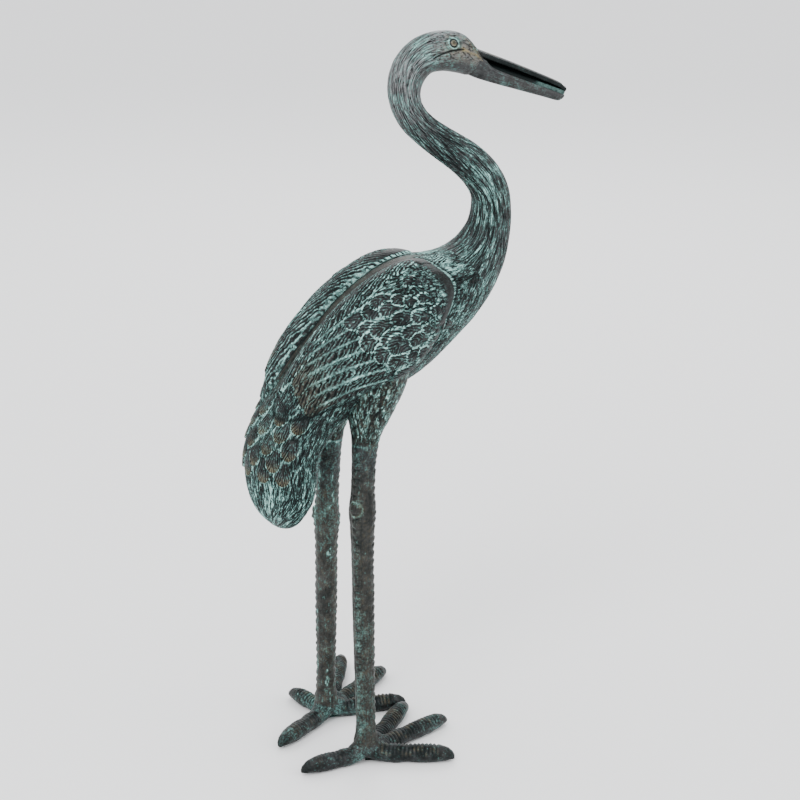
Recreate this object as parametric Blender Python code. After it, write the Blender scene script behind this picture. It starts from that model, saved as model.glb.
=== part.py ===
# A garden statue of a standing crane in bronze, cast and welded into one piece.
# Metres, +Z up. The bird looks along +X and its right side is -Y.
# The origin is under the middle of the whole figure, on the ground.

import math

import bmesh
import bpy
import numpy as np

# Driving sizes in metres
STATUE_HEIGHT = 0.900
FEET_APART = 0.125
LEG_THICKNESS = 0.027
TOE_THICKNESS = 0.023
TOE_LIFT = 0.011
ANKLE_HEIGHT = 0.030
EYE_DIAMETER = 0.0085
WING_RISE = 0.0165
WING_RIM = 0.0020
FEATHER_RISE = 0.0034
SCALE_RISE = 0.0036
CLAW_LENGTH = 0.019
SEATING = 0.0025

# The figure's pose, proportions and carving are in 900ths of its height
SHARE = STATUE_HEIGHT / 900

# Sections of the trunk, neck and head from the tip of the tail to the forehead:
# forward, up, depth on the back's side, depth on the belly's side, half width
TRUNK = (
    (-72, 307, 4, 3, 6),
    (-76, 321, 23, 17, 32),
    (-79, 345, 38, 34, 50),
    (-80, 378, 44, 39, 59),
    (-76, 412, 45, 40, 60),
    (-63, 446, 41, 46, 61),
    (-42, 478, 41, 54, 64),
    (-14, 507, 47, 63, 69),
    (17, 531, 55, 72, 74),
    (48, 553, 58, 78, 76),
    (78, 571, 57, 76, 75),
    (106, 586, 50, 70, 70),
    (132, 600, 35, 64, 61),
    (156, 616, 23, 55, 50),
    (175, 635, 18, 45, 40),
    (188, 657, 18, 35, 32),
    (194, 680, 20, 29, 27),
    (193, 702, 21, 26, 25),
    (182, 724, 22, 24, 24),
    (163, 744, 22, 22, 23),
    (140, 761, 21, 20, 21),
    (117, 778, 20, 18, 19),
    (98, 797, 21, 16, 18),
    (87, 817, 22, 16, 18),
    (85, 838, 24, 18, 18),
    (92, 857, 25, 20, 19),
    (107, 869, 26, 20, 20),
    (128, 874, 26, 22, 21),
    (150, 873, 23, 24, 20),
    (168, 867, 13, 23, 16),
    (182, 860, 6, 21, 13),
)
TRUNK_RINGS = 42
TRUNK_SIDES = 18

# A place on the trunk is a section number and a turn in degrees from the spine
WING_MIDDLE = (8.3, 62)
WING_OUTLINE = (
    (11.3, 14), (11.7, 40), (11.8, 66), (11.4, 88), (10.6, 102), (9.7, 116),
    (8.8, 125), (7.5, 118), (6.3, 101), (5.45, 66), (5.1, 36), (5.3, 15),
    (6.5, 8), (8.0, 8), (9.5, 9),
)
PLUME_PATH = ((12.4, 16), (11.0, 19), (9.6, 21), (8.2, 21), (6.9, 19), (5.5, 13))
PLUME_BREADTH = 30
FLIGHT_FEATHERS = 6
FLIGHT_BREADTH = 17
FLIGHT_TILT = 0.3
COVERT_ROWS = 4
COVERTS_IN_ROW = 4
COVERT_REACH = 27
COVERT_BREADTH = 20
TAIL_ROWS = 4
TAIL_SCALES_IN_ROW = 5
TAIL_SCALE_REACH = 28
TAIL_SCALE_BREADTH = 23
TAIL_SCALE_TURN = 32

# Legs from the thigh down to the knee: forward, sideways, up, radius
RIGHT_THIGH = ((34, 36, 520, 40), (25, 40, 488, 36), (15, 45, 455, 27), (8, 50, 422, 17))
LEFT_THIGH = ((28, 36, 515, 40), (20, 40, 478, 35), (9, 46, 440, 25), (3, 50, 400, 17))
RIGHT_KNEE = 336
LEFT_KNEE = 290
RIGHT_AHEAD = 1.5
LEFT_AHEAD = -1.2
LEG_SIDES = 10

# Down the leg: share of the knee's height, then of the ankle's, and thickness
SHANK = ((1.35, 1.06), (1.1, 1.08), (1.0, 1.25), (0.92, 1.12), (0.8, 1.03), (0.6, 1.02), (0.35, 0.94))
ANKLE = ((1.7, 0.92), (1.0, 1.12), (0.4, 1.1))
HEEL_THICKNESS = 1.1

# Toes: direction in degrees from the beak's, length from the middle of the foot
RIGHT_TOES = ((183, 88, 1.0), (-25, 113, 1.08), (19, 143, 1.0), (45, 145, 1.0))
LEFT_TOES = ((212, 105, 1.0), (-6, 108, 1.0), (35.5, 147, 1.0), (60.7, 164, 1.0), (107, 79, 0.95))
TOE_SIDES = 8

# Along a toe up to its claw, then back from the tip in claws: place, thickness, lift
KNUCKLES = ((0.0, 1.3), (0.15, 1.2), (0.30, 1.0), (0.43, 1.06), (0.56, 0.95), (0.70, 1.03), (0.85, 0.92))
CLAW = ((1.0, 0.9, 1.0), (0.35, 0.68, 0.85), (0.0, 0.25, 0.5))
WEB_REACH = 0.36
WEB_HOLLOW = 0.14
WEB_HEIGHTS = (1.6, 0.55, 0.45, 0.55)

EYE_PLACE = (27.4, 60)

# The beak runs down from its root; depths are measured square to its upper edge
BEAK_ROOT = (177, 873)
BEAK_SLOPE = math.radians(-23.2)
BEAK_REACH = 131
UPPER_BEAK = (-0.12, 0.0, 0.12, 0.35, 0.65, 0.9, 0.97, 1.0)
LOWER_BEAK = (-0.10, 0.06, 0.16, 0.30, 0.55, 0.8, 0.96, 1.0)
TONGUE = (-0.1, 0.3, 0.7, 0.95)


def smooth_path(rows, where):
    """Points on the smooth curve through rows; where counts rows from nought."""
    rows = np.asarray(rows, float)
    where = np.clip(np.asarray(where, float), 0, len(rows) - 1)
    first = np.minimum(np.floor(where).astype(int), len(rows) - 2)
    part = (where - first)[..., None]
    rows = np.vstack([2 * rows[0] - rows[1], rows, 2 * rows[-1] - rows[-2]])
    a, b, c, d = (rows[first + k] for k in range(4))
    bend = (2 * a - 5 * b + 4 * c - d) * part ** 2 + (3 * b - a - 3 * c + d) * part ** 3
    return (2 * b + (c - a) * part + bend) / 2


def trunk_point(section, turn, lift=0.0):
    """A point on the trunk, lifted off its surface; turn is in radians."""
    section, turn, lift = np.broadcast_arrays(section, turn, lift)
    row = smooth_path(TRUNK, section) * SHARE
    step = 0.01
    run = smooth_path(TRUNK, section + step)[..., :2] - smooth_path(TRUNK, section - step)[..., :2]
    run = run / np.linalg.norm(run, axis=-1, keepdims=True)
    depth = np.where(np.cos(turn) > 0, row[..., 2], row[..., 3]) + lift
    rise = depth * np.cos(turn)
    forward = row[..., 0] - run[..., 1] * rise
    up = row[..., 1] + run[..., 0] * rise
    return np.stack([forward, -(row[..., 4] + lift) * np.sin(turn), up], -1)


def trunk_scale(section, turn):
    """Metres for one section and for one radian of turn, at a place on the trunk."""
    step = 0.02
    along = trunk_point(section + step, turn) - trunk_point(section - step, turn)
    around = trunk_point(section, turn + step) - trunk_point(section, turn - step)
    return np.linalg.norm(along, axis=-1) / (2 * step), np.linalg.norm(around, axis=-1) / (2 * step)


def wing_reach():
    """How far the wing's outline lies from its middle, in metres, by direction."""
    outline = np.array(WING_OUTLINE + WING_OUTLINE[:3])
    fine = smooth_path(outline, np.linspace(1, len(WING_OUTLINE) + 1, 121)[:-1])
    per_section, per_radian = trunk_scale(*WING_AT)
    along = (fine[:, 0] - WING_AT[0]) * per_section
    around = (np.radians(fine[:, 1]) - WING_AT[1]) * per_radian
    heading = np.arctan2(around, along)
    order = np.argsort(heading)
    return heading[order], np.hypot(along, around)[order]


WING_AT = (WING_MIDDLE[0], math.radians(WING_MIDDLE[1]))
WING_HEADINGS, WING_RADII = wing_reach()


def wing_lift(section, turn):
    """How far a wing stands off the trunk at a place, nought outside its outline."""
    per_section, per_radian = trunk_scale(*WING_AT)
    along = (section - WING_AT[0]) * per_section
    around = (np.abs(turn) - WING_AT[1]) * per_radian
    rim = np.interp(np.arctan2(around, along), WING_HEADINGS, WING_RADII, period=2 * math.pi)
    reach = np.clip(np.hypot(along, around) / rim, 0, 1)
    return np.where(reach < 1, WING_RIM + (WING_RISE - WING_RIM) * (1 - reach ** 4), 0.0)


def disc_grid(rows, columns):
    """Points of a grid bent to fill a disc of radius one, as two arrays."""
    along = np.linspace(-1, 1, rows + 1)[:, None]
    across = np.linspace(-1, 1, columns + 1)[None, :]
    return along * np.sqrt(1 - across ** 2 / 2), across * np.sqrt(1 - along ** 2 / 2)


def add_mesh(name, points, faces, collection):
    """A closed mesh object with its faces pointing out."""
    mesh = bpy.data.meshes.new(name)
    mesh.from_pydata([tuple(point) for point in points], [], faces)
    shape = bmesh.new()
    shape.from_mesh(mesh)
    bmesh.ops.recalc_face_normals(shape, faces=shape.faces)
    shape.to_mesh(mesh)
    shape.free()
    thing = bpy.data.objects.new(name, mesh)
    collection.objects.link(thing)
    return thing


def loft(name, rings, collection):
    """A solid through rings of points, closed by a flat face at each end."""
    count, sides, _ = rings.shape
    faces = []
    for ring in range(count - 1):
        for side in range(sides):
            after = (side + 1) % sides
            low, high = ring * sides, (ring + 1) * sides
            faces.append((low + side, low + after, high + after, high + side))
    faces.append(tuple(range(sides)))
    faces.append(tuple(range((count - 1) * sides, count * sides)))
    return add_mesh(name, rings.reshape(-1, 3), faces, collection)


def sheet(name, top, bottom, collection):
    """A solid between two grids of points with the same rows and columns."""
    rows, columns = top.shape[0] - 1, top.shape[1] - 1
    count = (rows + 1) * (columns + 1)
    faces = []
    for row in range(rows):
        for column in range(columns):
            corner = row * (columns + 1) + column
            quad = (corner, corner + 1, corner + columns + 2, corner + columns + 1)
            faces.append(quad)
            faces.append(tuple(count + index for index in reversed(quad)))
    rim = [column for column in range(columns)]
    rim += [row * (columns + 1) + columns for row in range(rows)]
    rim += [rows * (columns + 1) + column for column in range(columns, 0, -1)]
    rim += [row * (columns + 1) for row in range(rows, 0, -1)]
    for start, end in zip(rim, rim[1:] + rim[:1]):
        faces.append((start, end, count + end, count + start))
    points = np.vstack([top.reshape(-1, 3), bottom.reshape(-1, 3)])
    return add_mesh(name, points, faces, collection)


def feather(name, path, breadth, rise, tilt, grid, side, collection):
    """A feather along a path of places, sunk at its root and raised at its tip."""
    along, across = disc_grid(*grid)
    reach = (along + 1) / 2
    last = len(path) - 1
    places = smooth_path(path, reach * last)
    slope = smooth_path(path, reach * last + 0.02) - smooth_path(path, reach * last - 0.02)
    section, turn = places[..., 0], np.radians(places[..., 1])
    per_section, per_radian = trunk_scale(section, turn)
    run = np.stack([slope[..., 0] * per_section, np.radians(slope[..., 1]) * per_radian], -1)
    run = run / np.linalg.norm(run, axis=-1, keepdims=True)
    fullness = np.minimum((1.0001 - along ** 2) ** -0.22, 1.6)
    aside = across * fullness * breadth * SHARE / 2
    section = section - run[..., 1] * aside / per_section
    turn = turn + run[..., 0] * aside / per_radian
    ground = wing_lift(section, turn)
    crown = 1 - 0.4 * across ** 2 + tilt * across
    top = trunk_point(section, side * turn, ground + rise * (0.15 + 0.85 * reach) * crown)
    bottom = trunk_point(section, side * turn, -SEATING)
    return sheet(name, top, bottom, collection)


def add_trunk(collection):
    """Tail, body, neck and head as one loft."""
    section = np.linspace(0, len(TRUNK) - 1, TRUNK_RINGS)[:, None]
    turn = np.linspace(0, 2 * math.pi, TRUNK_SIDES, endpoint=False)[None, :]
    return loft("crane", trunk_point(section, turn), collection)


def add_wing(side, collection):
    """The folded wing as a low raised pad with a round rim at the shoulder."""
    along, around = disc_grid(10, 8)
    heading = np.arctan2(around, along)
    rim = np.interp(heading, WING_HEADINGS, WING_RADII, period=2 * math.pi)
    reach = np.hypot(along, around)
    per_section, per_radian = trunk_scale(*WING_AT)
    section = WING_AT[0] + reach * rim * np.cos(heading) / per_section
    turn = WING_AT[1] + reach * rim * np.sin(heading) / per_radian
    rise = WING_RIM + (WING_RISE - WING_RIM) * (1 - np.minimum(reach, 1) ** 4)
    top = trunk_point(section, side * turn, rise)
    bottom = trunk_point(section, side * turn, -SEATING)
    sheet("wing", top, bottom, collection)


def add_wing_feathers(side, collection):
    """Plume, long flight feathers and the rounded coverts over their roots."""
    feather("plume", PLUME_PATH, PLUME_BREADTH, FEATHER_RISE, 0.0, (8, 2), side, collection)
    for index in range(FLIGHT_FEATHERS):
        share = index / (FLIGHT_FEATHERS - 1)
        root = (8.7 - 1.1 * share ** 0.6, 42 + 62 * share)
        tip = (6.5 - 1.1 * share ** 0.7, 25 + 38 * share ** 2)
        middle = ((root[0] + tip[0]) / 2, (root[1] + tip[1]) / 2 + 2)
        path = (root, middle, tip)
        feather("flight", path, FLIGHT_BREADTH, FEATHER_RISE, FLIGHT_TILT, (5, 2), side, collection)
    per_section, _ = trunk_scale(*WING_AT)
    length = COVERT_REACH * SHARE / per_section
    for row in range(COVERT_ROWS):
        for index in range(COVERTS_IN_ROW - row % 2):
            tip = 7.8 + 0.62 * row + 0.05 * index
            turn = 46 + 19 * index + 9.5 * (row % 2)
            path = ((tip + length, turn + 6), (tip + length / 2, turn + 2), (tip, turn))
            feather("covert", path, COVERT_BREADTH, SCALE_RISE, 0.0, (4, 2), side, collection)


def add_tail_scales(collection):
    """Rounded feathers in staggered rows over the root of the tail."""
    for row in range(TAIL_ROWS):
        tip = 4.55 - 0.5 * row
        count = TAIL_SCALES_IN_ROW - row % 2
        for index in range(count):
            turn = TAIL_SCALE_TURN * (index - (count - 1) / 2)
            per_section, _ = trunk_scale(tip, math.radians(turn))
            length = TAIL_SCALE_REACH * SHARE / per_section
            path = ((tip + length, turn), (tip + length / 2, turn), (tip, turn))
            feather("tail_scale", path, TAIL_SCALE_BREADTH, SCALE_RISE, 0.0, (4, 2), 1, collection)


def tube(name, path, sides, collection):
    """A solid round a path of forward, sideways, up and radius."""
    path = np.asarray(path, float)
    run = np.gradient(path[:, :3], axis=0)
    run /= np.linalg.norm(run, axis=1, keepdims=True)
    level = np.cross(run, (0.0, 1.0, 0.0))
    level /= np.linalg.norm(level, axis=1, keepdims=True)
    aside = np.cross(run, level)
    angle = np.linspace(0, 2 * math.pi, sides, endpoint=False)[None, :, None]
    radius = path[:, None, 3:4]
    rings = path[:, None, :3] + radius * (np.cos(angle) * level[:, None] + np.sin(angle) * aside[:, None])
    return loft(name, rings, collection)


def add_leg(side, thigh, knee, ahead, collection):
    """Thigh, knee and shank, flaring into the top of the foot."""
    radius = LEG_THICKNESS / 2
    foot_side = FEET_APART / 2
    ahead *= SHARE
    path = [(x * SHARE, side * y * SHARE, z * SHARE, r * SHARE) for x, y, z, r in thigh]
    hip = path[-1]
    for share, swell in SHANK:
        height = knee * SHARE * share
        drop = (hip[2] - height) / (hip[2] - ANKLE_HEIGHT)
        across = abs(hip[1]) + (foot_side - abs(hip[1])) * drop
        forward = ahead + (hip[0] - ahead) * (1 - drop) ** 6
        if height < hip[2] - radius:
            path.append((forward, side * across, height, radius * swell))
    for share, swell in ANKLE:
        path.append((ahead, side * foot_side, ANKLE_HEIGHT * share, radius * swell))
    path.append((ahead, side * foot_side, -SEATING, radius * HEEL_THICKNESS))
    tube("leg", path, LEG_SIDES, collection)


def toe_path(length, radius):
    """Distance from the middle of the foot, radius and lift of each ring of a toe."""
    bare = length - CLAW_LENGTH
    path = []
    for share, swell in KNUCKLES:
        path.append((share * bare, radius * swell, TOE_LIFT + radius * max(0.0, 0.9 - 3 * share)))
    for share, swell, lift in CLAW:
        path.append((length - CLAW_LENGTH * share, radius * swell, TOE_LIFT * lift))
    return path


def add_toe(side, heading, length, thickness, collection):
    """One toe with its knuckles and a pointed claw, a little sunk for a flat sole."""
    turn = math.radians(heading)
    foot = np.array((0.0, side * FEET_APART / 2, 0.0))
    ahead = np.array((math.cos(turn), math.sin(turn), 0.0))
    aside = np.array((-math.sin(turn), math.cos(turn), 0.0))
    up = np.array((0.0, 0.0, 1.0))
    angles = (np.arange(TOE_SIDES) + 0.5) * 2 * math.pi / TOE_SIDES
    round_about = np.cos(angles)[:, None] * aside + np.sin(angles)[:, None] * up
    rings = []
    for reach, size, lift in toe_path(length * SHARE, TOE_THICKNESS / 2 * thickness):
        rings.append(foot + ahead * reach + up * lift + size * round_about)
    loft("toe", np.array(rings), collection)


def add_web(side, first, second, collection):
    """The skin between the roots of two neighbouring toes."""
    foot = np.array((0.0, side * FEET_APART / 2, 0.0))
    corners = []
    for heading, length, _ in (first, second):
        turn = math.radians(heading)
        ahead = np.array((math.cos(turn), math.sin(turn), 0.0))
        corners.append(foot + WEB_REACH * length * SHARE * ahead)
    middle = (corners[0] + corners[1]) / 2
    middle += (foot - middle) * WEB_HOLLOW
    outline = [foot, corners[0], middle, corners[1]]
    low = np.array([point + (0, 0, -SEATING) for point in outline])
    high = np.array([point + (0, 0, TOE_THICKNESS * h) for point, h in zip(outline, WEB_HEIGHTS)])
    loft("web", np.array([low, high]), collection)


def beak_point(share, depth, aside):
    """A point by its share of the beak's length, below its upper edge and off its middle."""
    ahead, down = share * BEAK_REACH * SHARE, depth * SHARE
    forward = BEAK_ROOT[0] * SHARE + ahead * math.cos(BEAK_SLOPE) + down * math.sin(BEAK_SLOPE)
    up = BEAK_ROOT[1] * SHARE + ahead * math.sin(BEAK_SLOPE) - down * math.cos(BEAK_SLOPE)
    return (forward, aside * SHARE, up)


def upper_beak_ring(share):
    """A section of the upper half of the beak: slim, with a slightly hooked tip."""
    out = max(share, 0)
    half = 12 - 8 * out ** 0.8
    hook = 2.6 * max(share - 0.9, 0) / 0.1
    middle = hook - 1.2 * math.sin(math.pi * out)
    thick = 5.6 - 2.2 * out
    top = middle - 2.2
    low = middle - hook * 0.2 + thick
    profile = ((0, top), (0.62, top + 1.1), (1, top + thick * 0.6), (0.86, low), (0, low - 0.8),
               (-0.86, low), (-1, top + thick * 0.6), (-0.62, top + 1.1))
    return [beak_point(share, depth, half * across) for across, depth in profile]


def lower_beak_ring(share):
    """A section of the lower half of the beak, hollowed along its top."""
    out = max(share, 0)
    half = 12.5 - 7.5 * out ** 0.8
    opening = min(max((share - 0.08) / 0.1, 0), 1)
    rim = 8.0 + 4.6 * opening - 3.4 * out
    low = 29.6 - 10.6 * max(share - 0.2, 0) / 0.8
    low -= 2.5 * (share == LOWER_BEAK[-1])
    trough = min(rim + 5.0 * opening, low - 2.0)
    waist = (rim + low) / 2
    edge = ((0.45, trough - 0.4 * opening), (0.8, rim), (1.0, rim + 1.5), (0.92, waist), (0.5, low - 1.2))
    mirrored = tuple((-across, depth) for across, depth in reversed(edge))
    profile = ((0.0, trough),) + edge + ((0.0, low),) + mirrored
    return [beak_point(share, depth, half * across) for across, depth in profile]


def tongue_ring(share):
    """A section of what shows between the two halves of the beak."""
    out = max(share, 0)
    half = 4.5 - 3.0 * out
    low = 20 - 6 * out
    profile = ((half, 3), (half, low), (-half, low), (-half, 3))
    return [beak_point(share, depth, across) for across, depth in profile]


def add_beak(collection):
    """Two slender parts a little apart, the lower one hollowed along its top."""
    halves = (("upper_beak", upper_beak_ring, UPPER_BEAK), ("lower_beak", lower_beak_ring, LOWER_BEAK),
              ("tongue", tongue_ring, TONGUE))
    for name, ring, stops in halves:
        loft(name, np.array([ring(share) for share in stops]), collection)


def add_eye(side, collection):
    """A round eye standing half out of the head."""
    place = trunk_point(EYE_PLACE[0], side * math.radians(EYE_PLACE[1]))
    bpy.ops.mesh.primitive_uv_sphere_add(segments=10, ring_count=6, radius=EYE_DIAMETER / 2, location=place)
    eye = bpy.context.object
    eye.name = "eye"
    for holder in list(eye.users_collection):
        holder.objects.unlink(eye)
    collection.objects.link(eye)


def bronze():
    """Dark bronze under a green patina."""
    material = bpy.data.materials.new("bronze")
    material.use_nodes = True
    shader = material.node_tree.nodes["Principled BSDF"]
    shader.inputs["Base Color"].default_value = (0.055, 0.075, 0.068, 1.0)
    shader.inputs["Metallic"].default_value = 0.55
    shader.inputs["Roughness"].default_value = 0.52
    return material


def ground_cutter(collection):
    """A block under the ground that trims the feet flat."""
    size = STATUE_HEIGHT
    bpy.ops.mesh.primitive_cube_add(size=size, location=(0.0, 0.0, -size / 2))
    block = bpy.context.object
    block.name = "ground"
    for holder in list(block.users_collection):
        holder.objects.unlink(block)
    collection.objects.link(block)
    return block


def centre_on_origin(thing, others):
    """Hang everything on one empty and shift it so that the origin lies under the middle."""
    stand = bpy.data.objects.new("stand_point", None)
    bpy.context.scene.collection.objects.link(stand)
    for held in [thing] + others:
        held.parent = stand
    bpy.context.view_layer.update()
    solid = thing.evaluated_get(bpy.context.evaluated_depsgraph_get()).to_mesh()
    corners = np.array([vertex.co for vertex in solid.vertices])
    middle = (corners.min(axis=0) + corners.max(axis=0)) / 2
    stand.location = (-middle[0], -middle[1], 0.0)


def build():
    """The whole statue, as one solid."""
    for old in list(bpy.data.objects):
        bpy.data.objects.remove(old)
    statue = bpy.data.collections.new("crane_statue")
    helpers = bpy.data.collections.new("crane_forms")
    bpy.context.scene.collection.children.link(statue)
    bpy.context.scene.collection.children.link(helpers)
    crane = add_trunk(statue)
    for side in (1, -1):
        add_wing(side, helpers)
        add_wing_feathers(side, helpers)
        add_eye(side, helpers)
    add_tail_scales(helpers)
    add_beak(helpers)
    add_leg(-1, RIGHT_THIGH, RIGHT_KNEE, RIGHT_AHEAD, helpers)
    add_leg(1, LEFT_THIGH, LEFT_KNEE, LEFT_AHEAD, helpers)
    for side, toes in ((-1, RIGHT_TOES), (1, LEFT_TOES)):
        for toe in toes:
            add_toe(side, *toe, helpers)
        front = [toe for toe in sorted(toes) if toe[0] < 90]
        for first, second in zip(front, front[1:]):
            add_web(side, first, second, helpers)
    union = crane.modifiers.new("forms", "BOOLEAN")
    union.operation = "UNION"
    union.operand_type = "COLLECTION"
    union.collection = helpers
    cutters = bpy.data.collections.new("cutters")
    bpy.context.scene.collection.children.link(cutters)
    cut = crane.modifiers.new("flat soles", "BOOLEAN")
    cut.operation = "DIFFERENCE"
    cut.object = ground_cutter(cutters)
    for helper in list(helpers.objects) + list(cutters.objects):
        helper.hide_render = True
        helper.display_type = "WIRE"
    crane.data.materials.append(bronze())
    centre_on_origin(crane, list(helpers.objects) + list(cutters.objects))


build()
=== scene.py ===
# A garden statue of a standing crane in bronze under a green patina.
# Metres, +Z up. The bird looks along +X and its right side is -Y.

import math
from typing import NamedTuple

import bpy
import numpy as np
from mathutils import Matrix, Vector

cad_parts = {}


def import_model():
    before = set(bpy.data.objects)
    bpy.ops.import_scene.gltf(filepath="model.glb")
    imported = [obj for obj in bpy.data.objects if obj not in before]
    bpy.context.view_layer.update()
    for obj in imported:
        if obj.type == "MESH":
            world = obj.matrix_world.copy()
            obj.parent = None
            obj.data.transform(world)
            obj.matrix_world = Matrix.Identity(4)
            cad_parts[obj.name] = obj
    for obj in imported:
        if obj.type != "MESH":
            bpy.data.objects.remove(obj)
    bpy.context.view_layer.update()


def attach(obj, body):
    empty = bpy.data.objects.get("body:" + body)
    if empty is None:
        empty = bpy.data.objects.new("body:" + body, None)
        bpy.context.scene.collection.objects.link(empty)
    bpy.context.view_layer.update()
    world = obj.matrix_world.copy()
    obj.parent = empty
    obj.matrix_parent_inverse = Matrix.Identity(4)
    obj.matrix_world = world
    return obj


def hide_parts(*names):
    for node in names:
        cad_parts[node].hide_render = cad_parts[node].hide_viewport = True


# Driving sizes in metres
STATUE_HEIGHT = 0.900
FEET_APART = 0.125
LEG_THICKNESS = 0.027
TOE_THICKNESS = 0.023
TOE_LIFT = 0.011
ANKLE_HEIGHT = 0.030
WING_RISE = 0.0165
WING_RIM = 0.0020
FEATHER_RISE = 0.0034
SCALE_RISE = 0.0036
TAIL_SCALE_RISE = 0.0030

# The figure's pose, proportions and carving are in 900ths of its height
SHARE = STATUE_HEIGHT / 900

# From the point between the feet to the middle of the whole figure
STAND = np.array((-0.08505, -0.04615, 0.0))

# Sections of the trunk, neck and head from the tip of the tail to the forehead:
# forward, up, depth on the back's side, depth on the belly's side, half width
TRUNK = (
    (-72, 307, 4, 3, 6),
    (-76, 321, 23, 17, 32),
    (-79, 345, 38, 34, 50),
    (-80, 378, 44, 39, 59),
    (-76, 412, 45, 40, 60),
    (-63, 446, 41, 46, 61),
    (-42, 478, 41, 54, 64),
    (-14, 507, 47, 63, 69),
    (17, 531, 55, 72, 74),
    (48, 553, 58, 78, 76),
    (78, 571, 57, 76, 75),
    (106, 586, 50, 70, 70),
    (132, 600, 35, 64, 61),
    (156, 616, 23, 55, 50),
    (175, 635, 18, 45, 40),
    (188, 657, 18, 35, 32),
    (194, 680, 20, 29, 27),
    (193, 702, 21, 26, 25),
    (182, 724, 22, 24, 24),
    (163, 744, 22, 22, 23),
    (140, 761, 21, 20, 21),
    (117, 778, 20, 18, 19),
    (98, 797, 21, 16, 18),
    (87, 817, 22, 16, 18),
    (85, 838, 24, 18, 18),
    (92, 857, 25, 20, 19),
    (107, 869, 26, 20, 20),
    (128, 874, 26, 22, 21),
    (150, 873, 23, 24, 20),
    (168, 867, 13, 23, 16),
    (182, 860, 6, 21, 13),
)

# Where the body's mesh ends and the neck's begins, and how fine they are
NECK_SECTION = 13
BODY_ROWS = 540
BODY_COLUMNS = 500
NECK_ROWS = 420
NECK_COLUMNS = 260

# Fine strands in the metal: how far apart they are, and how long on each part
STRAND_PITCH = 0.0021
BODY_STRAND = 0.011
NECK_STRAND = 0.028
LEG_STRAND = 0.014
TOE_STRAND = 0.008

# The radius that strands run round, and how much patina the marks on each part hold
BODY_GIRTH = 0.060
NECK_GIRTH = 0.034
BODY_HOLD = 0.29
NECK_HOLD = 0.26
LEG_HOLD = 0.35
TOE_HOLD = 0.30

# A place on the trunk is a section number and a turn in degrees from the spine
WING_MIDDLE = (8.3, 62)
WING_OUTLINE = (
    (11.3, 14), (11.7, 40), (11.8, 66), (11.4, 88), (10.6, 102), (9.7, 116),
    (8.8, 125), (7.5, 118), (6.3, 101), (5.45, 66), (5.1, 36), (5.3, 15),
    (6.5, 8), (8.0, 8), (9.5, 9),
)
PLUME_PATH = ((12.4, 16), (11.0, 19), (9.6, 21), (8.2, 21), (6.9, 19), (5.5, 13))
PLUME_WIDTH = 0.034
FLIGHT_FEATHERS = 7
FLIGHT_WIDTH = 0.0165
COVERT_ROWS = 5
COVERTS_IN_ROW = 6
COVERT_LENGTH = 0.034
COVERT_WIDTH = 0.0195
TAIL_ROWS = 5
TAIL_SCALES_IN_ROW = 5
TAIL_SCALE_LENGTH = 0.027
TAIL_SCALE_WIDTH = 0.0215

# Legs in 900ths of the height: the thigh downward as forward, sideways, up and radius,
# the height of the knee, and how far the leg stands ahead of the middle of its foot
RIGHT_THIGH = ((34, 36, 520, 40), (25, 40, 488, 36), (15, 45, 455, 27), (8, 50, 422, 17))
LEFT_THIGH = ((28, 36, 515, 40), (20, 40, 478, 35), (9, 46, 440, 25), (3, 50, 400, 17))
RIGHT_KNEE = 336
LEFT_KNEE = 290
RIGHT_AHEAD = 1.5
LEFT_AHEAD = -1.2

# How thick a leg is, by share of the knee's height and then of the ankle's
LEG_SWELL = ((1.35, 1.06), (1.1, 1.08), (1.0, 1.25), (0.92, 1.12), (0.8, 1.03), (0.6, 1.02), (0.35, 0.94))
ANKLE_SWELL = ((1.7, 0.92), (1.0, 1.14), (0.55, 1.12), (0.35, 0.6))

# The leg's mesh, its plates, its beads and the seams beside them, and the knee's knob:
# how high or deep each is, and where round the leg in degrees from its front
LEG_ROWS = 320
LEG_COLUMNS = 80
SCUTE_PITCH = 0.0105
SCUTE_RISE = 0.0014
SCUTE_TURN = 5
BEAD_RISE = 0.0016
BEAD_TURN = 146
SEAM_DEPTH = 0.0006
SEAM_TURN = 82
KNOB_RISE = 0.0018
KNOB_TURN = 150

# Toes: direction in degrees from the beak's, length from the middle of the foot in
# 900ths of the height, and thickness by the usual toe's
RIGHT_TOES = ((183, 88, 1.0), (-25, 113, 1.08), (19, 143, 1.0), (45, 145, 1.0))
LEFT_TOES = ((212, 105, 1.0), (-6, 108, 1.0), (35.5, 147, 1.0), (60.7, 164, 1.0), (107, 79, 0.95))

# How thick a toe is, by share of its length before the claw; then the claw, by the
# share of it that is left: how thick, and how high its middle is by the toe's
TOE_SWELL = ((0.0, 1.3), (0.15, 1.2), (0.30, 1.0), (0.43, 1.06), (0.56, 0.95), (0.70, 1.03), (0.88, 1.02))
CLAW_SWELL = ((1.0, 0.9, 1.0), (0.40, 0.71, 0.88), (0.12, 0.48, 0.72), (0.0, 0.25, 0.55))
HIND_TOES_FROM = 150
HIND_TOE_RINGS = 0.35
TOE_ROWS = 90
TOE_COLUMNS = 48
TOE_RING_PITCH = 0.0050
TOE_RING_RISE = 0.0013
TOE_RING_DEPTH = 0.0007
CLAW_LENGTH = 0.019
WEB_REACH = 0.36
WEB_ROWS = 24

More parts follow.
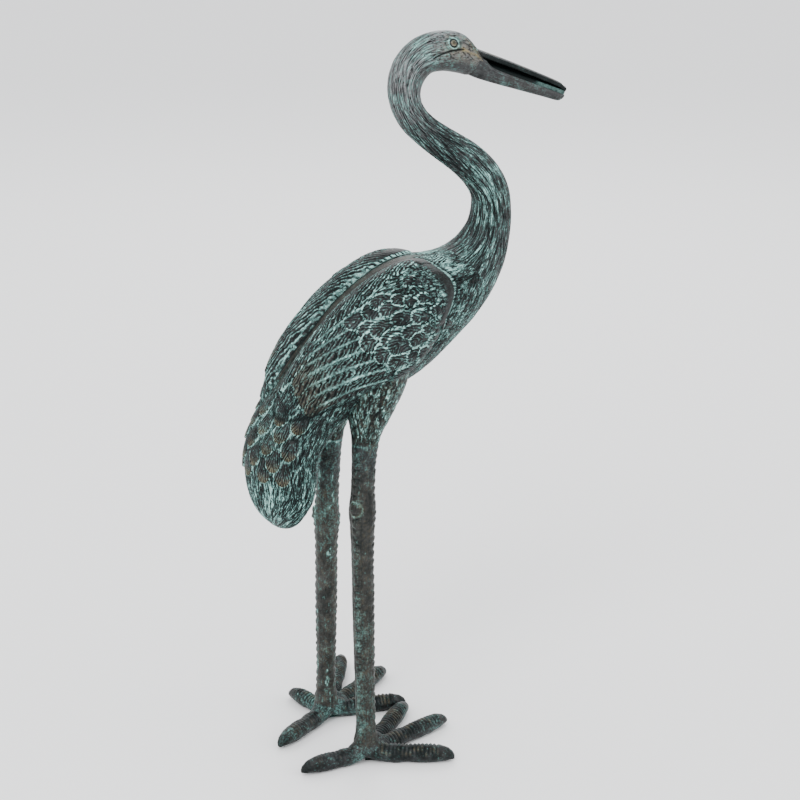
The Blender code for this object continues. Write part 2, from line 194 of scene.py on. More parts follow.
# Places on the head: the eye, the brow, the crease of the cheek and the ridge to the beak
EYE_PLACE = (27.4, 60)
BROW_PATH = ((27.15, 38), (27.7, 34), (28.15, 42), (28.45, 56))
CREASE_PATH = ((26.2, 90), (26.7, 85), (27.2, 81), (27.9, 76))
RIDGE_PATH = ((27.9, 76), (28.4, 81), (28.95, 76), (29.3, 80), (29.7, 88))
EYE_DIAMETER = 0.0085
EYE_RING_WIDTH = 0.0011
EYE_RING_RISE = 0.0013
SOCKET_WIDTH = 0.0016
SOCKET_DEPTH = 0.0008
BROW_WIDTH = 0.0016
BROW_RISE = 0.0016
CREASE_WIDTH = 0.0012
CREASE_DEPTH = 0.0012
RIDGE_WIDTH = 0.0019
RIDGE_RISE = 0.0014
TRACE_POINTS = 60

# The beak runs down from its root; depths are measured square to its upper edge
BEAK_ROOT = (177, 873)
BEAK_SLOPE = math.radians(-23.2)
BEAK_LENGTH = 0.131
BEAK_ROWS = 110

# Colour weights of the carving; bloom is how much patina its marks hold
CHANNELS = ("patina", "gold", "grey", "shade", "bloom")
ALL_ROUND = (-math.pi, math.pi)
TRUNK_SEED = 7
LEGS_SEED = 11

# Depths at which a mark or a hollow holds all the patina or painted shade that it can
CUT_DEPTH = 0.0007
GASH_DEPTH = 0.0009
FINE_HOLLOW = 0.0006
BROAD_HOLLOW = 0.0020

# A feather's edge rolls off over a short way, and a line of patina lies along it
FEATHER_POINTS = 36
EDGE_DROP = 0.0009
EDGE_ROLL = 0.0006
RIM_INSIDE = 0.0009
RIM_OUTSIDE = 0.0011
OVERLAP = 0.0004
BROAD_SHAFT = 0.0008

# Kinds of feather: how they rise, their shafts and barbs, and how much patina they hold
FLIGHT = dict(width=FLIGHT_WIDTH, rise=FEATHER_RISE, tip=0.6, tilt=0.3, shaft=0.0014,
              shaft_width=0.0016, barb=0.0016, pitch=0.0034, slant=-1.8, one_way=True,
              edge=0.30, light=0.16)
COVERT = dict(rise=SCALE_RISE, tip=0.9, shaft=0.0004, barb=0.0010, pitch=0.0030, slant=2.6,
              edge=1.1, light=0.10)
PLUME = dict(width=PLUME_WIDTH, rise=FEATHER_RISE, tip=1.5, shaft=0.0, barb=0.0014, pitch=0.0039,
             slant=-2.9, one_way=True, edge=0.8, light=0.58)
TAIL_SCALE = dict(width=TAIL_SCALE_WIDTH, rise=TAIL_SCALE_RISE, tip=0.75, shaft=0.0003, barb=0.0011,
                  pitch=0.0026, slant=5.0, edge=0.85, gold=0.42, light=0.14)


class Mark(NamedTuple):
    """A kind of tool mark: how far apart, how long, how wide and how deep, in metres."""

    along: float
    across: float
    shortest: float
    longest: float
    width: float
    depth: float


BODY_MARK = Mark(0.0075, 0.0026, 0.007, 0.016, 0.00062, 0.0010)
SHOULDER_MARK = Mark(0.0034, 0.0028, 0.003, 0.008, 0.00066, 0.0012)
NECK_MARK = Mark(0.0120, 0.0023, 0.016, 0.040, 0.00062, 0.0010)
FACE_MARK = Mark(0.0042, 0.0034, 0.003, 0.008, 0.0007, 0.0007)
THIGH_MARK = Mark(0.0080, 0.0026, 0.007, 0.015, 0.0008, 0.0009)
SHANK_MARK = Mark(0.014, 0.006, 0.005, 0.014, 0.0008, 0.0004)
TOE_MARK = Mark(0.012, 0.005, 0.004, 0.010, 0.0008, 0.0004)

# Metal, its patina, and a near black for painted shade in hollows and grooves and for dark parts such as
# claws
DARK_METAL = (0.008, 0.010, 0.010)
LIGHT_METAL = (0.034, 0.035, 0.036)
BROWN_METAL = (0.034, 0.028, 0.024)
GREY_METAL = (0.320, 0.322, 0.330)
RUBBED_METAL = (0.235, 0.185, 0.090)
THIN_PATINA = (0.085, 0.190, 0.175)
THICK_PATINA = (0.400, 0.690, 0.640)
DARK_AND_PAINTED_SHADE = (0.003, 0.006, 0.006)

# Studio: the camera's place from between the feet, the way it looks, its lens in
# millimetres, and each lamp with its place, size and power
CAMERA_PLACE = (-0.91196, -2.2, 1.26805)
CAMERA_HEADING = math.radians(-24.194)
CAMERA_DROP = math.radians(18.744)
CAMERA_LENS = 93.015
SENSOR_WIDTH = 36.0
FLOOR_SIZE = 60.0
FLOOR_COLOUR = (0.86, 0.86, 0.86)
SKY_COLOUR = (0.97, 0.98, 1.0)
SKY_STRENGTH = 1.8
LAMP_AIM = (0.0, 0.0, 0.5)
LAMPS = (
    ("key", (-2.2, -2.0, 3.0), 1.6, 90.0),
    ("fill", (2.6, -2.2, 1.8), 2.0, 30.0),
    ("back", (1.2, 2.6, 2.6), 1.8, 45.0),
)


def smooth_path(rows, where):
    """Points on the smooth curve through rows; where counts rows from nought."""
    rows = np.asarray(rows, float)
    where = np.clip(np.asarray(where, float), 0, len(rows) - 1)
    first = np.minimum(np.floor(where).astype(int), len(rows) - 2)
    part = (where - first)[..., None]
    rows = np.vstack([2 * rows[0] - rows[1], rows, 2 * rows[-1] - rows[-2]])
    a, b, c, d = (rows[first + k] for k in range(4))
    bend = (2 * a - 5 * b + 4 * c - d) * part ** 2 + (3 * b - a - 3 * c + d) * part ** 3
    return (2 * b + (c - a) * part + bend) / 2


def trunk_point(section, turn, lift=0.0):
    """A point on the trunk, lifted off its surface; turn is in radians."""
    section, turn, lift = np.broadcast_arrays(section, turn, lift)
    row = smooth_path(TRUNK, section) * SHARE
    step = 0.01
    inner = np.clip(section, step, len(TRUNK) - 1 - step)
    run = smooth_path(TRUNK, inner + step)[..., :2] - smooth_path(TRUNK, inner - step)[..., :2]
    run = run / np.linalg.norm(run, axis=-1, keepdims=True)
    depth = np.where(np.cos(turn) > 0, row[..., 2], row[..., 3]) + lift
    rise = depth * np.cos(turn)
    forward = row[..., 0] - run[..., 1] * rise
    up = row[..., 1] + run[..., 0] * rise
    return np.stack([forward, -(row[..., 4] + lift) * np.sin(turn), up], -1)


def trunk_scale(section, turn):
    """Metres for one section and for one radian of turn, at a place on the trunk."""
    step = 0.02
    along = trunk_point(section + step, turn) - trunk_point(section - step, turn)
    around = trunk_point(section, turn + step) - trunk_point(section, turn - step)
    return np.linalg.norm(along, axis=-1) / (2 * step), np.linalg.norm(around, axis=-1) / (2 * step)


WING_AT = (WING_MIDDLE[0], math.radians(WING_MIDDLE[1]))


def wing_outline():
    """The direction and distance of the wing's outline from its middle, in metres."""
    outline = np.array(WING_OUTLINE + WING_OUTLINE[:3])
    fine = smooth_path(outline, np.linspace(1, len(WING_OUTLINE) + 1, 121)[:-1])
    per_section, per_radian = trunk_scale(*WING_AT)
    along = (fine[:, 0] - WING_AT[0]) * per_section
    around = (np.radians(fine[:, 1]) - WING_AT[1]) * per_radian
    heading = np.arctan2(around, along)
    order = np.argsort(heading)
    return heading[order], np.hypot(along, around)[order]


def wing_reach(section, turn):
    """How far out on the wing a place is, from nought in its middle to one on its outline."""
    headings, radii = WING_SHAPE
    per_section, per_radian = trunk_scale(*WING_AT)
    along = (section - WING_AT[0]) * per_section
    around = (np.abs(turn) - WING_AT[1]) * per_radian
    rim = np.interp(np.arctan2(around, along), headings, radii, period=2 * math.pi)
    return np.hypot(along, around) / rim


WING_SHAPE = wing_outline()


def wing_lift(section, turn):
    """How far a wing stands off the trunk at a place, nought outside its outline."""
    reach = wing_reach(section, turn)
    rise = WING_RIM + (WING_RISE - WING_RIM) * (1 - np.minimum(reach, 1) ** 4)
    return np.where(reach < 1, rise, 0.0)


def ease(low, high, value):
    """A soft step from nought at low to one at high."""
    share = np.clip((value - low) / (high - low), 0, 1)
    return share * share * (3 - 2 * share)


def bell(value, middle, width):
    """A soft bump that is one at its middle and next to nothing two widths away."""
    return np.exp(-((value - middle) / width) ** 2)


def mesh_count(count):
    return count // 1


def soft_noise(shape, cells, rng):
    """A smooth random field between minus one and one."""
    coarse = rng.uniform(-1, 1, (cells[0] + 1, cells[1]))
    coarse = np.hstack([coarse, coarse[:, :1]])
    rows = np.linspace(0, cells[0], shape[0])
    columns = np.linspace(0, cells[1], shape[1])
    low = np.minimum(rows.astype(int), cells[0] - 1)
    left = np.minimum(columns.astype(int), cells[1] - 1)
    down = ease(0, 1, rows - low)[:, None]
    right = ease(0, 1, columns - left)[None, :]
    top = coarse[low][:, left] * (1 - right) + coarse[low][:, left + 1] * right
    bottom = coarse[low + 1][:, left] * (1 - right) + coarse[low + 1][:, left + 1] * right
    return top * (1 - down) + bottom * down


def blurred(field, reach):
    """A field averaged over a square of cells, twice; its last column meets its first."""
    size = 2 * reach + 1
    for _ in range(2):
        field = np.pad(field, ((reach, reach), (0, 0)), mode="edge")
        field = np.pad(field, ((0, 0), (reach, reach)), mode="wrap")
        for axis in (0, 1):
            total = np.insert(np.cumsum(field, axis=axis), 0, 0, axis=axis)
            count = total.shape[axis]
            high = np.take(total, range(size, count), axis=axis)
            low = np.take(total, range(0, count - size), axis=axis)
            field = (high - low) / size
    return field


def distance_along(pace, steps):
    """The distance travelled up to each step, from the pace there."""
    return np.concatenate([[0], np.cumsum((pace[1:] + pace[:-1]) / 2 * np.diff(steps))])


class Relief:
    """Carving over a patch of surface: heights and colour weights in a grid.

    A cut holds patina, a gash is a groove painted dark as shade, and a ridge stands up.
    The lie of the strands has how far along and across them a place is, how even they
    are, and how calm.
    """

    def __init__(self, sections, turns, scale, lift, strand, girth, hold):
        self.sections, self.turns = sections, turns
        self.section, self.turn = np.meshgrid(sections, turns, indexing="ij")
        self.scale = scale
        shape = self.section.shape
        self.lift = np.zeros(shape) + lift(self.section, self.turn)
        self.cut = np.zeros(shape)
        self.gash = np.zeros(shape)
        self.ridge = np.zeros(shape)
        self.colour = {name: np.zeros(shape) for name in CHANNELS}
        self.hold = hold
        pace, _ = scale(self.sections, 0 * self.sections + math.pi / 2)
        travel = distance_along(pace, sections)
        nought = 0 * self.turn
        across = self.turn * girth / STRAND_PITCH
        self.lie = np.stack([travel[:, None] / strand + nought, across, nought, nought], -1)

    def window(self, section, turn, reach_along, reach_around):
        """Rows and columns within reach of a place."""
        rows = np.searchsorted(self.sections, (section - reach_along, section + reach_along))
        columns = np.searchsorted(self.turns, (turn - reach_around, turn + reach_around))
        return slice(*rows), slice(*columns)

    def height(self):
        """How far the finished surface stands off the plain one."""
        return self.lift + self.ridge - np.maximum(self.cut, self.gash)

    def cover(self, name, weight):
        """Raises a colour weight to at least the one given."""
        self.colour[name] = np.maximum(self.colour[name], weight)

    def painted(self):
        """Colour weights, with patina gathered in the hollows and painted shade in broad hollows and dark
        gashes.
        """
        height = self.height()
        tint = self.colour
        hollow = np.clip((blurred(height, 3) - height) / FINE_HOLLOW, 0, 1)
        deep = np.clip((blurred(height, 7) - height) / BROAD_HOLLOW, 0, 1)
        marked = np.clip(self.cut / CUT_DEPTH, 0, 1)
        dark = np.clip(self.gash / GASH_DEPTH, 0, 1)
        patina = tint["patina"] + self.hold * marked * tint["bloom"] + 0.2 * hollow
        patina = patina * (1 - 0.9 * dark)
        # Painted shade: near black in the gashes and in broad hollows that hold no patina mark
        shade = np.maximum(tint["shade"], 0.95 * dark) + 0.45 * deep * (1 - marked)
        return np.stack([patina, tint["gold"], tint["grey"], shade], -1)


def stroke(relief, name, places, heading, length, width, depth, bend):
    """Tapered tool marks at places (section, turn); heading is from the tail-to-head run."""
    field = getattr(relief, name)
    section, turn = places
    scale = relief.scale(section, turn)
    values = np.broadcast_arrays(section, turn, heading, length, width, depth, bend, *scale)
    for section, turn, heading, length, width, depth, bend, per_section, per_radian in zip(*values):
        along, around = math.cos(heading), math.sin(heading)
        half = length / 2 + width
        for lap in (-2 * math.pi, 0.0, 2 * math.pi):
            spot = relief.window(section, turn + lap, half / per_section, half / per_radian)
            if field[spot].size == 0:
                continue
            ahead = (relief.section[spot] - section) * per_section
            aside = (relief.turn[spot] - turn - lap) * per_radian
            reach = ahead * along + aside * around
            off = aside * along - ahead * around - bend * reach ** 2 / length
            taper = np.clip(1 - (2 * reach / length) ** 2, 0, 1)
            np.maximum(field[spot], depth * taper * bell(off, 0, width), out=field[spot])


def tool_marks(relief, rng, places, heading, mark, dark=0.45, bend=0.15, longer=1.0, thinner=1.0,
               shallower=1.0):
    """Two kinds of mark over the same places: some hold patina and some are painted dark as shade."""
    count = places.shape[1]
    is_dark = rng.uniform(0, 1, count) < dark
    length = rng.uniform(mark.shortest * longer, mark.longest * longer, count)
    size = mark.width * thinner * rng.uniform(0.8, 1.25, count)
    deep = mark.depth * shallower * rng.uniform(0.6, 1.3, count)
    curve = rng.normal(0, bend, count)
    heading = np.broadcast_to(heading, count)
    for name, keep, more in (("cut", ~is_dark, 1.0), ("gash", is_dark, 1.2)):
        stroke(relief, name, places[:, keep], heading[keep], length[keep], size[keep],
               more * deep[keep], curve[keep])


def along_feather(relief, path, width, side):
    """The window round a feather; in it, the share of the feather's length and the
    distance off its middle at each place; and the feather's length in metres."""
    line = smooth_path(path, np.linspace(0, len(path) - 1, FEATHER_POINTS))
    spine, turned = line[:, 0], np.radians(line[:, 1])
    per_section, per_radian = trunk_scale(spine, turned)
    run = np.stack([np.gradient(spine) * per_section, np.gradient(turned) * per_radian], -1)
    pace = np.linalg.norm(run, axis=-1)
    middle = ((spine.min() + spine.max()) / 2, (turned.min() + turned.max()) / 2)
    spot = relief.window(middle[0], side * middle[1], np.ptp(spine) / 2 + width / per_section.min(),
                         np.ptp(turned) / 2 + width / per_radian.min())
    ahead = (relief.section[spot][..., None] - spine) * per_section
    around = (side * relief.turn[spot][..., None] - turned) * per_radian
    near = (ahead ** 2 + around ** 2).argmin(axis=-1)
    ahead = np.take_along_axis(ahead, near[..., None], -1)[..., 0]
    around = np.take_along_axis(around, near[..., None], -1)[..., 0]
    run = (run / pace[:, None])[near]
    forward = ahead * run[..., 0] + around * run[..., 1]
    aside = around * run[..., 0] - ahead * run[..., 1]
    share = np.clip((near + forward / pace[near]) / (FEATHER_POINTS - 1), -0.5, 1.5)
    return spot, share, aside, pace.sum()


def lay_feather(relief, path, side, rng, width, rise, tip, shaft, barb, pitch, slant, edge, light,
                tilt=0.0, shaft_width=0.0009, one_way=False, gold=0.0):
    """A feather along a path of places, sunk at its root and raised at its rounded tip."""
    spot, share, aside, total = along_feather(relief, path, width, side)
    if share.size == 0:
        return
    ripple, speckle = relief.ripple[spot], relief.speckle[spot]
    left = (1 - share) * total
    rounding = tip * width
    half = width / 2 * np.sqrt(np.clip(1 - np.clip((rounding - left) / rounding, 0, 1) ** 2, 0, 1))
    half = half * (0.7 + 0.3 * ease(0, 0.4, share))
    inside = np.minimum(half - np.abs(aside), left)
    inside = np.where(share < 0, -1.0, inside)
    across = np.clip(aside / (width / 2), -1, 1)
    crown = 1 - 0.4 * across ** 2 + tilt * across
    ground = wing_lift(relief.section[spot], relief.turn[spot])
    height = ground + rise * (0.15 + 0.85 * np.clip(share, 0, 1)) * crown
    height = height - EDGE_DROP * np.exp(-np.maximum(inside, 0) / EDGE_ROLL)
    vane = aside if one_way else np.abs(aside)
    wander = 0.5 * ripple + 0.28 * speckle + rng.uniform(0, 1)
    lean = math.hypot(1, slant)
    phase = (share * total - vane * slant) / (pitch * lean) + wander
    wave = np.cos(2 * math.pi * phase)
    broken = 0.6 + 0.4 * speckle
    quill = bell(aside, 0, shaft_width) * ease(1.0, 0.75, share)
    broad_quill = quill * (shaft > BROAD_SHAFT)
    height = height + shaft * quill
    over = (inside > 0) & (height > relief.lift[spot] - OVERLAP)
    plain = 1 - quill
    # The gaps between the barbs are gashes, painted dark as shade
    fields = ((relief.lift, height), (relief.cut, 0.0), (relief.ridge, 0.0),
              (relief.gash, barb * ease(-0.1, -0.9, wave) * broken * plain))
    for field, value in fields:
        field[spot] = np.where(over, value, field[spot])
    along = (vane + share * total * slant) / (lean * BODY_STRAND)
    for index, value in enumerate((along, phase, 0.40, 0.85 * broad_quill)):
        relief.lie[spot + (index,)] = np.where(over, value, relief.lie[spot + (index,)])
    rim = edge * bell(inside, 0, np.where(inside > 0, RIM_INSIDE, RIM_OUTSIDE))
    rim = rim * ease(0.0, 0.35, share)
    rim = np.where(share < 0, 0, rim) * (0.75 + 0.25 * ripple)
    tint = relief.colour
    patina = np.maximum(rim, light * ease(0.2, 0.9, wave) * broken * plain)
    patina = np.maximum(patina, (0.45 + 0.12 * ripple + 0.08 * speckle) * broad_quill)
    tint["patina"][spot] = np.where(over, patina, np.maximum(tint["patina"][spot], rim))
    for name, value in (("gold", gold * ease(0.45, 1.0, share)), ("grey", 0.0), ("shade", 0.0)):
        tint[name][spot] = np.where(over, value, tint[name][spot])


def scattered(relief, rng, sections, turns, mark):
    """Jittered places over a stretch of a patch, as far apart as a kind of mark needs."""
    places = []
    section = sections[0]
    row = 0
    span = turns[1] - turns[0]
    while section < sections[1]:
        per_section, per_radian = relief.scale(section, sum(turns) / 2)
        count = max(1, int(abs(span) * per_radian / mark.across))
        shift = 0.5 * (row % 2) + rng.uniform(-0.3, 0.3, count)
        turn = turns[0] + (np.arange(count) + shift) * span / count
        spread = section + rng.uniform(-0.45, 0.45, count) * mark.along / per_section
        places.append(np.stack([np.clip(spread, relief.sections[0], relief.sections[-1]), turn]))
        section += mark.along / per_section
        row += 1
    return np.hstack(places)


def lay_flight_feathers(relief, side, rng):
    """Long feathers that fan back and down, with broad light shafts."""
    for index in range(FLIGHT_FEATHERS):
        share = index / (FLIGHT_FEATHERS - 1)
        root = (8.9 - 1.1 * share ** 0.6, 40 + 66 * share)
        tip = (6.6 - 1.2 * share ** 0.7, 24 + 40 * share ** 2)
        middle = ((root[0] + tip[0]) / 2, (root[1] + tip[1]) / 2 + 2)
        gold = 0.15 * ease(0.1, 0.4, share)
        lay_feather(relief, (root, middle, tip), side, rng, gold=gold, **FLIGHT)


def lay_coverts(relief, side, rng):
    """Rounded feathers in staggered rows over the roots of the flight feathers."""
    per_section, _ = trunk_scale(*WING_AT)
    for row in range(COVERT_ROWS):
        shrink = 1 - 0.09 * row
        length = COVERT_LENGTH * shrink / per_section
        for index in range(COVERTS_IN_ROW - row % 2):
            tip = 7.75 + 0.56 * row + 0.04 * index + rng.uniform(-0.16, 0.16)
            turn = 42 + 13 * index + 6.5 * (row % 2) + rng.uniform(-3.5, 3.5)
            bend = rng.uniform(-3, 3)
            path = ((tip + length, turn + 8), (tip + length / 2, turn + 2 + bend), (tip, turn))
            width = COVERT_WIDTH * shrink * rng.uniform(0.82, 1.15)
            lay_feather(relief, path, side, rng, width, **COVERT)


def lay_tail_scales(relief, rng):
    """Rounded feathers in staggered rows over the root of the tail."""
    for row in reversed(range(TAIL_ROWS)):
        tip = 4.75 - 0.42 * row
        count = TAIL_SCALES_IN_ROW - row % 2
        for index in range(count):
            turn = 32 * (index - (count - 1) / 2) + rng.uniform(-3, 3)
            per_section, _ = trunk_scale(tip, math.radians(turn))
            length = TAIL_SCALE_LENGTH / per_section
            path = ((tip + length, turn), (tip + length / 2, turn), (tip, turn))
            lay_feather(relief, path, 1, rng, **TAIL_SCALE)


def give_noise(relief, rng, broad, fine):
    """Smooth random fields that break up what is regular."""
    shape = relief.section.shape
    relief.ripple = soft_noise(shape, broad, rng)
    relief.speckle = soft_noise(shape, fine, rng)
    relief.colour["bloom"] += 0.75 + 0.35 * soft_noise(shape, broad, rng)


def carve_body(relief, rng):
    """Hatching, feathers and smooth places of the body and tail."""
    give_noise(relief, rng, (40, 40), (150, 150))
    hatch_body(relief, rng)
    for side in (1, -1):
        lay_flight_feathers(relief, side, rng)
        lay_coverts(relief, side, rng)
        lay_feather(relief, PLUME_PATH, side, rng, **PLUME)
    lay_tail_scales(relief, rng)
    hatch_shoulders(relief, rng)
    finish_body(relief)


def finish_body(relief):
    """The smooth shoulder and back, the lines round the wings with a painted shadow just outside them, and
    the light tip of the tail.
    """
    tint = relief.colour
    section = relief.section
    degrees = np.degrees(np.abs(relief.turn))
    reach = wing_reach(section, relief.turn)
    shoulder = ease(0.82, 0.89, reach) * ease(1.0, 0.97, reach) * ease(9.6, 10.6, section)
    valley = ease(8, 4, degrees) * ease(5.2, 6.0, section) * ease(11.9, 11.0, section)
    smooth = np.maximum(shoulder, valley)
    for field in (relief.cut, relief.gash, tint["patina"]):
        field *= 1 - 0.9 * smooth
    relief.cover("shade", 0.45 * shoulder + 0.35 * valley)
    relief.cover("gold", 0.12 * valley)
    relief.cover("patina", bell(reach, 1.01, 0.024) * ease(8.5, 10.0, section))
    collar = ease(10.6, 11.6, section) * ease(13.0, 12.2, section) * ease(65, 45, degrees)
    tint["patina"] = tint["patina"] + 0.28 * collar * (reach > 1) + 0.26 * ease(3.4, 2.4, section)
    line = bell(np.degrees(relief.turn), -9.5, 1.0) * ease(5.0, 5.6, section)
    line = line * ease(10.2, 9.4, section) * (0.8 + 0.2 * relief.speckle)
    for field in (relief.cut, relief.gash):
        field *= 1 - 0.85 * line
    relief.cover("patina", 0.75 * line)
    relief.lie[..., 3] = np.maximum(relief.lie[..., 3], np.maximum(0.6 * smooth, 0.75 * line))
    # Painted shadow just outside the wing's raised edge
    relief.cover("shade", 0.9 * bell(reach, 1.045, 0.025) * (reach > 1))


def hatch_body(relief, rng):
    """Tool marks that follow the lie of the small feathers, longer on the tail."""
    ends = (relief.sections[0], relief.sections[-1])
    places = scattered(relief, rng, ends, ALL_ROUND, BODY_MARK)
    section, turn = places
    degrees = np.degrees(np.abs(turn))
    sway = np.where(degrees > 90, -0.45, 0.25) * ease(4, 7, section) * np.sign(turn)
    fan = 0.9 * np.sin(turn) * ease(3.2, 1.2, section)
    heading = math.pi + sway + fan + rng.normal(0, 0.14, section.shape)
    tool_marks(relief, rng, places, heading, BODY_MARK, longer=1 + 0.9 * ease(4.0, 2.0, section))
    relief.colour["patina"] += 0.12 + 0.12 * relief.ripple


def hatch_shoulders(relief, rng):
    """Short crossing marks where the wing's coverts run out towards the shoulder."""
    turns = (math.radians(25), math.radians(105))
    marks = scattered(relief, rng, (9.7, 11.3), turns, SHOULDER_MARK)
    for side in (1, -1):
        places = np.stack([marks[0], side * marks[1]])
        places = places[:, wing_reach(*places) < 0.86]
        heading = rng.uniform(-1.3, 1.3, places.shape[1])
        tool_marks(relief, rng, places, heading, SHOULDER_MARK, dark=0.4, bend=0.8)


def carve_neck(relief, rng):
    """Long strands down the neck, growing finer towards the head, and the face."""
    give_noise(relief, rng, (50, 16), (120, 50))
    places = scattered(relief, rng, (relief.sections[0], 26.6), ALL_ROUND, NECK_MARK)
    section, turn = places
    fine = ease(20, 25, section)
    drift = 0.16 * np.sin(section * 0.9 + 2 * turn)
    heading = math.pi + drift + rng.normal(0, 0.07, section.shape)
    tool_marks(relief, rng, places, heading, NECK_MARK, dark=0.5, bend=0.08,
               thinner=1 - 0.1 * fine, shallower=1 - 0.25 * fine)
    for side in (1, -1):
        places = scattered(relief, rng, (26.4, 29.6), (side * 0.3, side * 1.9), FACE_MARK)
        heading = rng.uniform(-1.2, 1.2, places.shape[1])
        tool_marks(relief, rng, places, heading, FACE_MARK, dark=0.5, bend=0.6)
    finish_neck(relief)
    carve_face(relief)


def finish_neck(relief):
    """The sunk root of the beak, and the grey of neck and head round a smooth throat."""
    tint = relief.colour
    section = relief.section
    degrees = np.degrees(np.abs(relief.turn))
    relief.lift = relief.lift - 0.0001 - 0.0022 * ease(29.0, 30.0, section)
    upper = ease(20.5, 24.0, section)
    throat = ease(85, 125, degrees) * ease(23, 25, section)
    face = ease(25.8, 27.6, section) * ease(30, 75, degrees)
    forehead = ease(27.9, 28.8, section) * ease(80, 50, degrees)
    calm = np.maximum(0.6 * throat, 0.55 * face)
    for field in (relief.cut, relief.gash):
        field *= 1 - 0.7 * throat
    relief.lie[..., 3] = calm
    grey = (0.85 * upper + 0.12) * (1 - 0.8 * throat) * (1 - 0.45 * face)
    tint["grey"] += grey * (1 - 0.7 * forehead)
    tint["shade"] += 0.35 * forehead
    tint["gold"] += 0.3 * forehead + 0.25 * face * (1 - throat)
    tint["patina"] += 0.12 + 0.12 * relief.ripple - 0.14 * calm


def traced(relief, path, width, side):
    """A soft line over a path of places, one in its middle."""
    field = np.zeros(relief.section.shape)
    per_section, per_radian = trunk_scale(path[1][0], math.radians(path[1][1]))
    for section, turn in smooth_path(path, np.linspace(0, len(path) - 1, TRACE_POINTS)):
        ahead = (relief.section - section) * per_section
        aside = (relief.turn - side * math.radians(turn)) * per_radian
        field = np.maximum(field, np.exp(-(ahead ** 2 + aside ** 2) / width ** 2))
    return field


def carve_face(relief):
    """Eye, its ring, the brow and the ridge that runs to the corner of the beak."""
    tint = relief.colour
    radius = EYE_DIAMETER / 2
    for side in (1, -1):
        place = (EYE_PLACE[0], side * math.radians(EYE_PLACE[1]))
        per_section, per_radian = trunk_scale(*place)
        ahead = (relief.section - place[0]) * per_section
        aside = (relief.turn - place[1]) * per_radian
        away = np.hypot(ahead, aside)
        clear = ease(radius * 1.5, radius * 2.0, away)
        relief.cut *= clear
        relief.gash *= clear
        ball = np.sqrt(np.clip(radius ** 2 - away ** 2, 0, None)) * 0.45
        ring = EYE_RING_RISE * bell(away, radius * 1.5, EYE_RING_WIDTH)
        brow = traced(relief, BROW_PATH, BROW_WIDTH, side)
        crease = traced(relief, CREASE_PATH, CREASE_WIDTH, side)
        ridge = traced(relief, RIDGE_PATH, RIDGE_WIDTH, side)
        socket = bell(away, radius * 2.3, SOCKET_WIDTH)
        relief.ridge += ball + ring + BROW_RISE * brow + RIDGE_RISE * ridge - SOCKET_DEPTH * socket
        # The crease and the groove round the eye ball are gashes painted dark as shade, and painted shade
        # lies in the sunk socket
        for groove in (crease, bell(away, radius * 1.08, 0.0008)):
            relief.gash = np.maximum(relief.gash, CREASE_DEPTH * groove)
        tint["shade"] += 0.35 * socket
        tint["gold"] += 0.9 * ridge + 0.35 * brow
        tint["patina"] += 0.6 * bell(away, radius * 1.5, 0.0012)
        tint["gold"] += 0.6 * ease(radius * 0.9, radius * 0.6, away)
        tint["shade"] += 0.75 * ease(radius * 0.75, radius * 0.35, away)


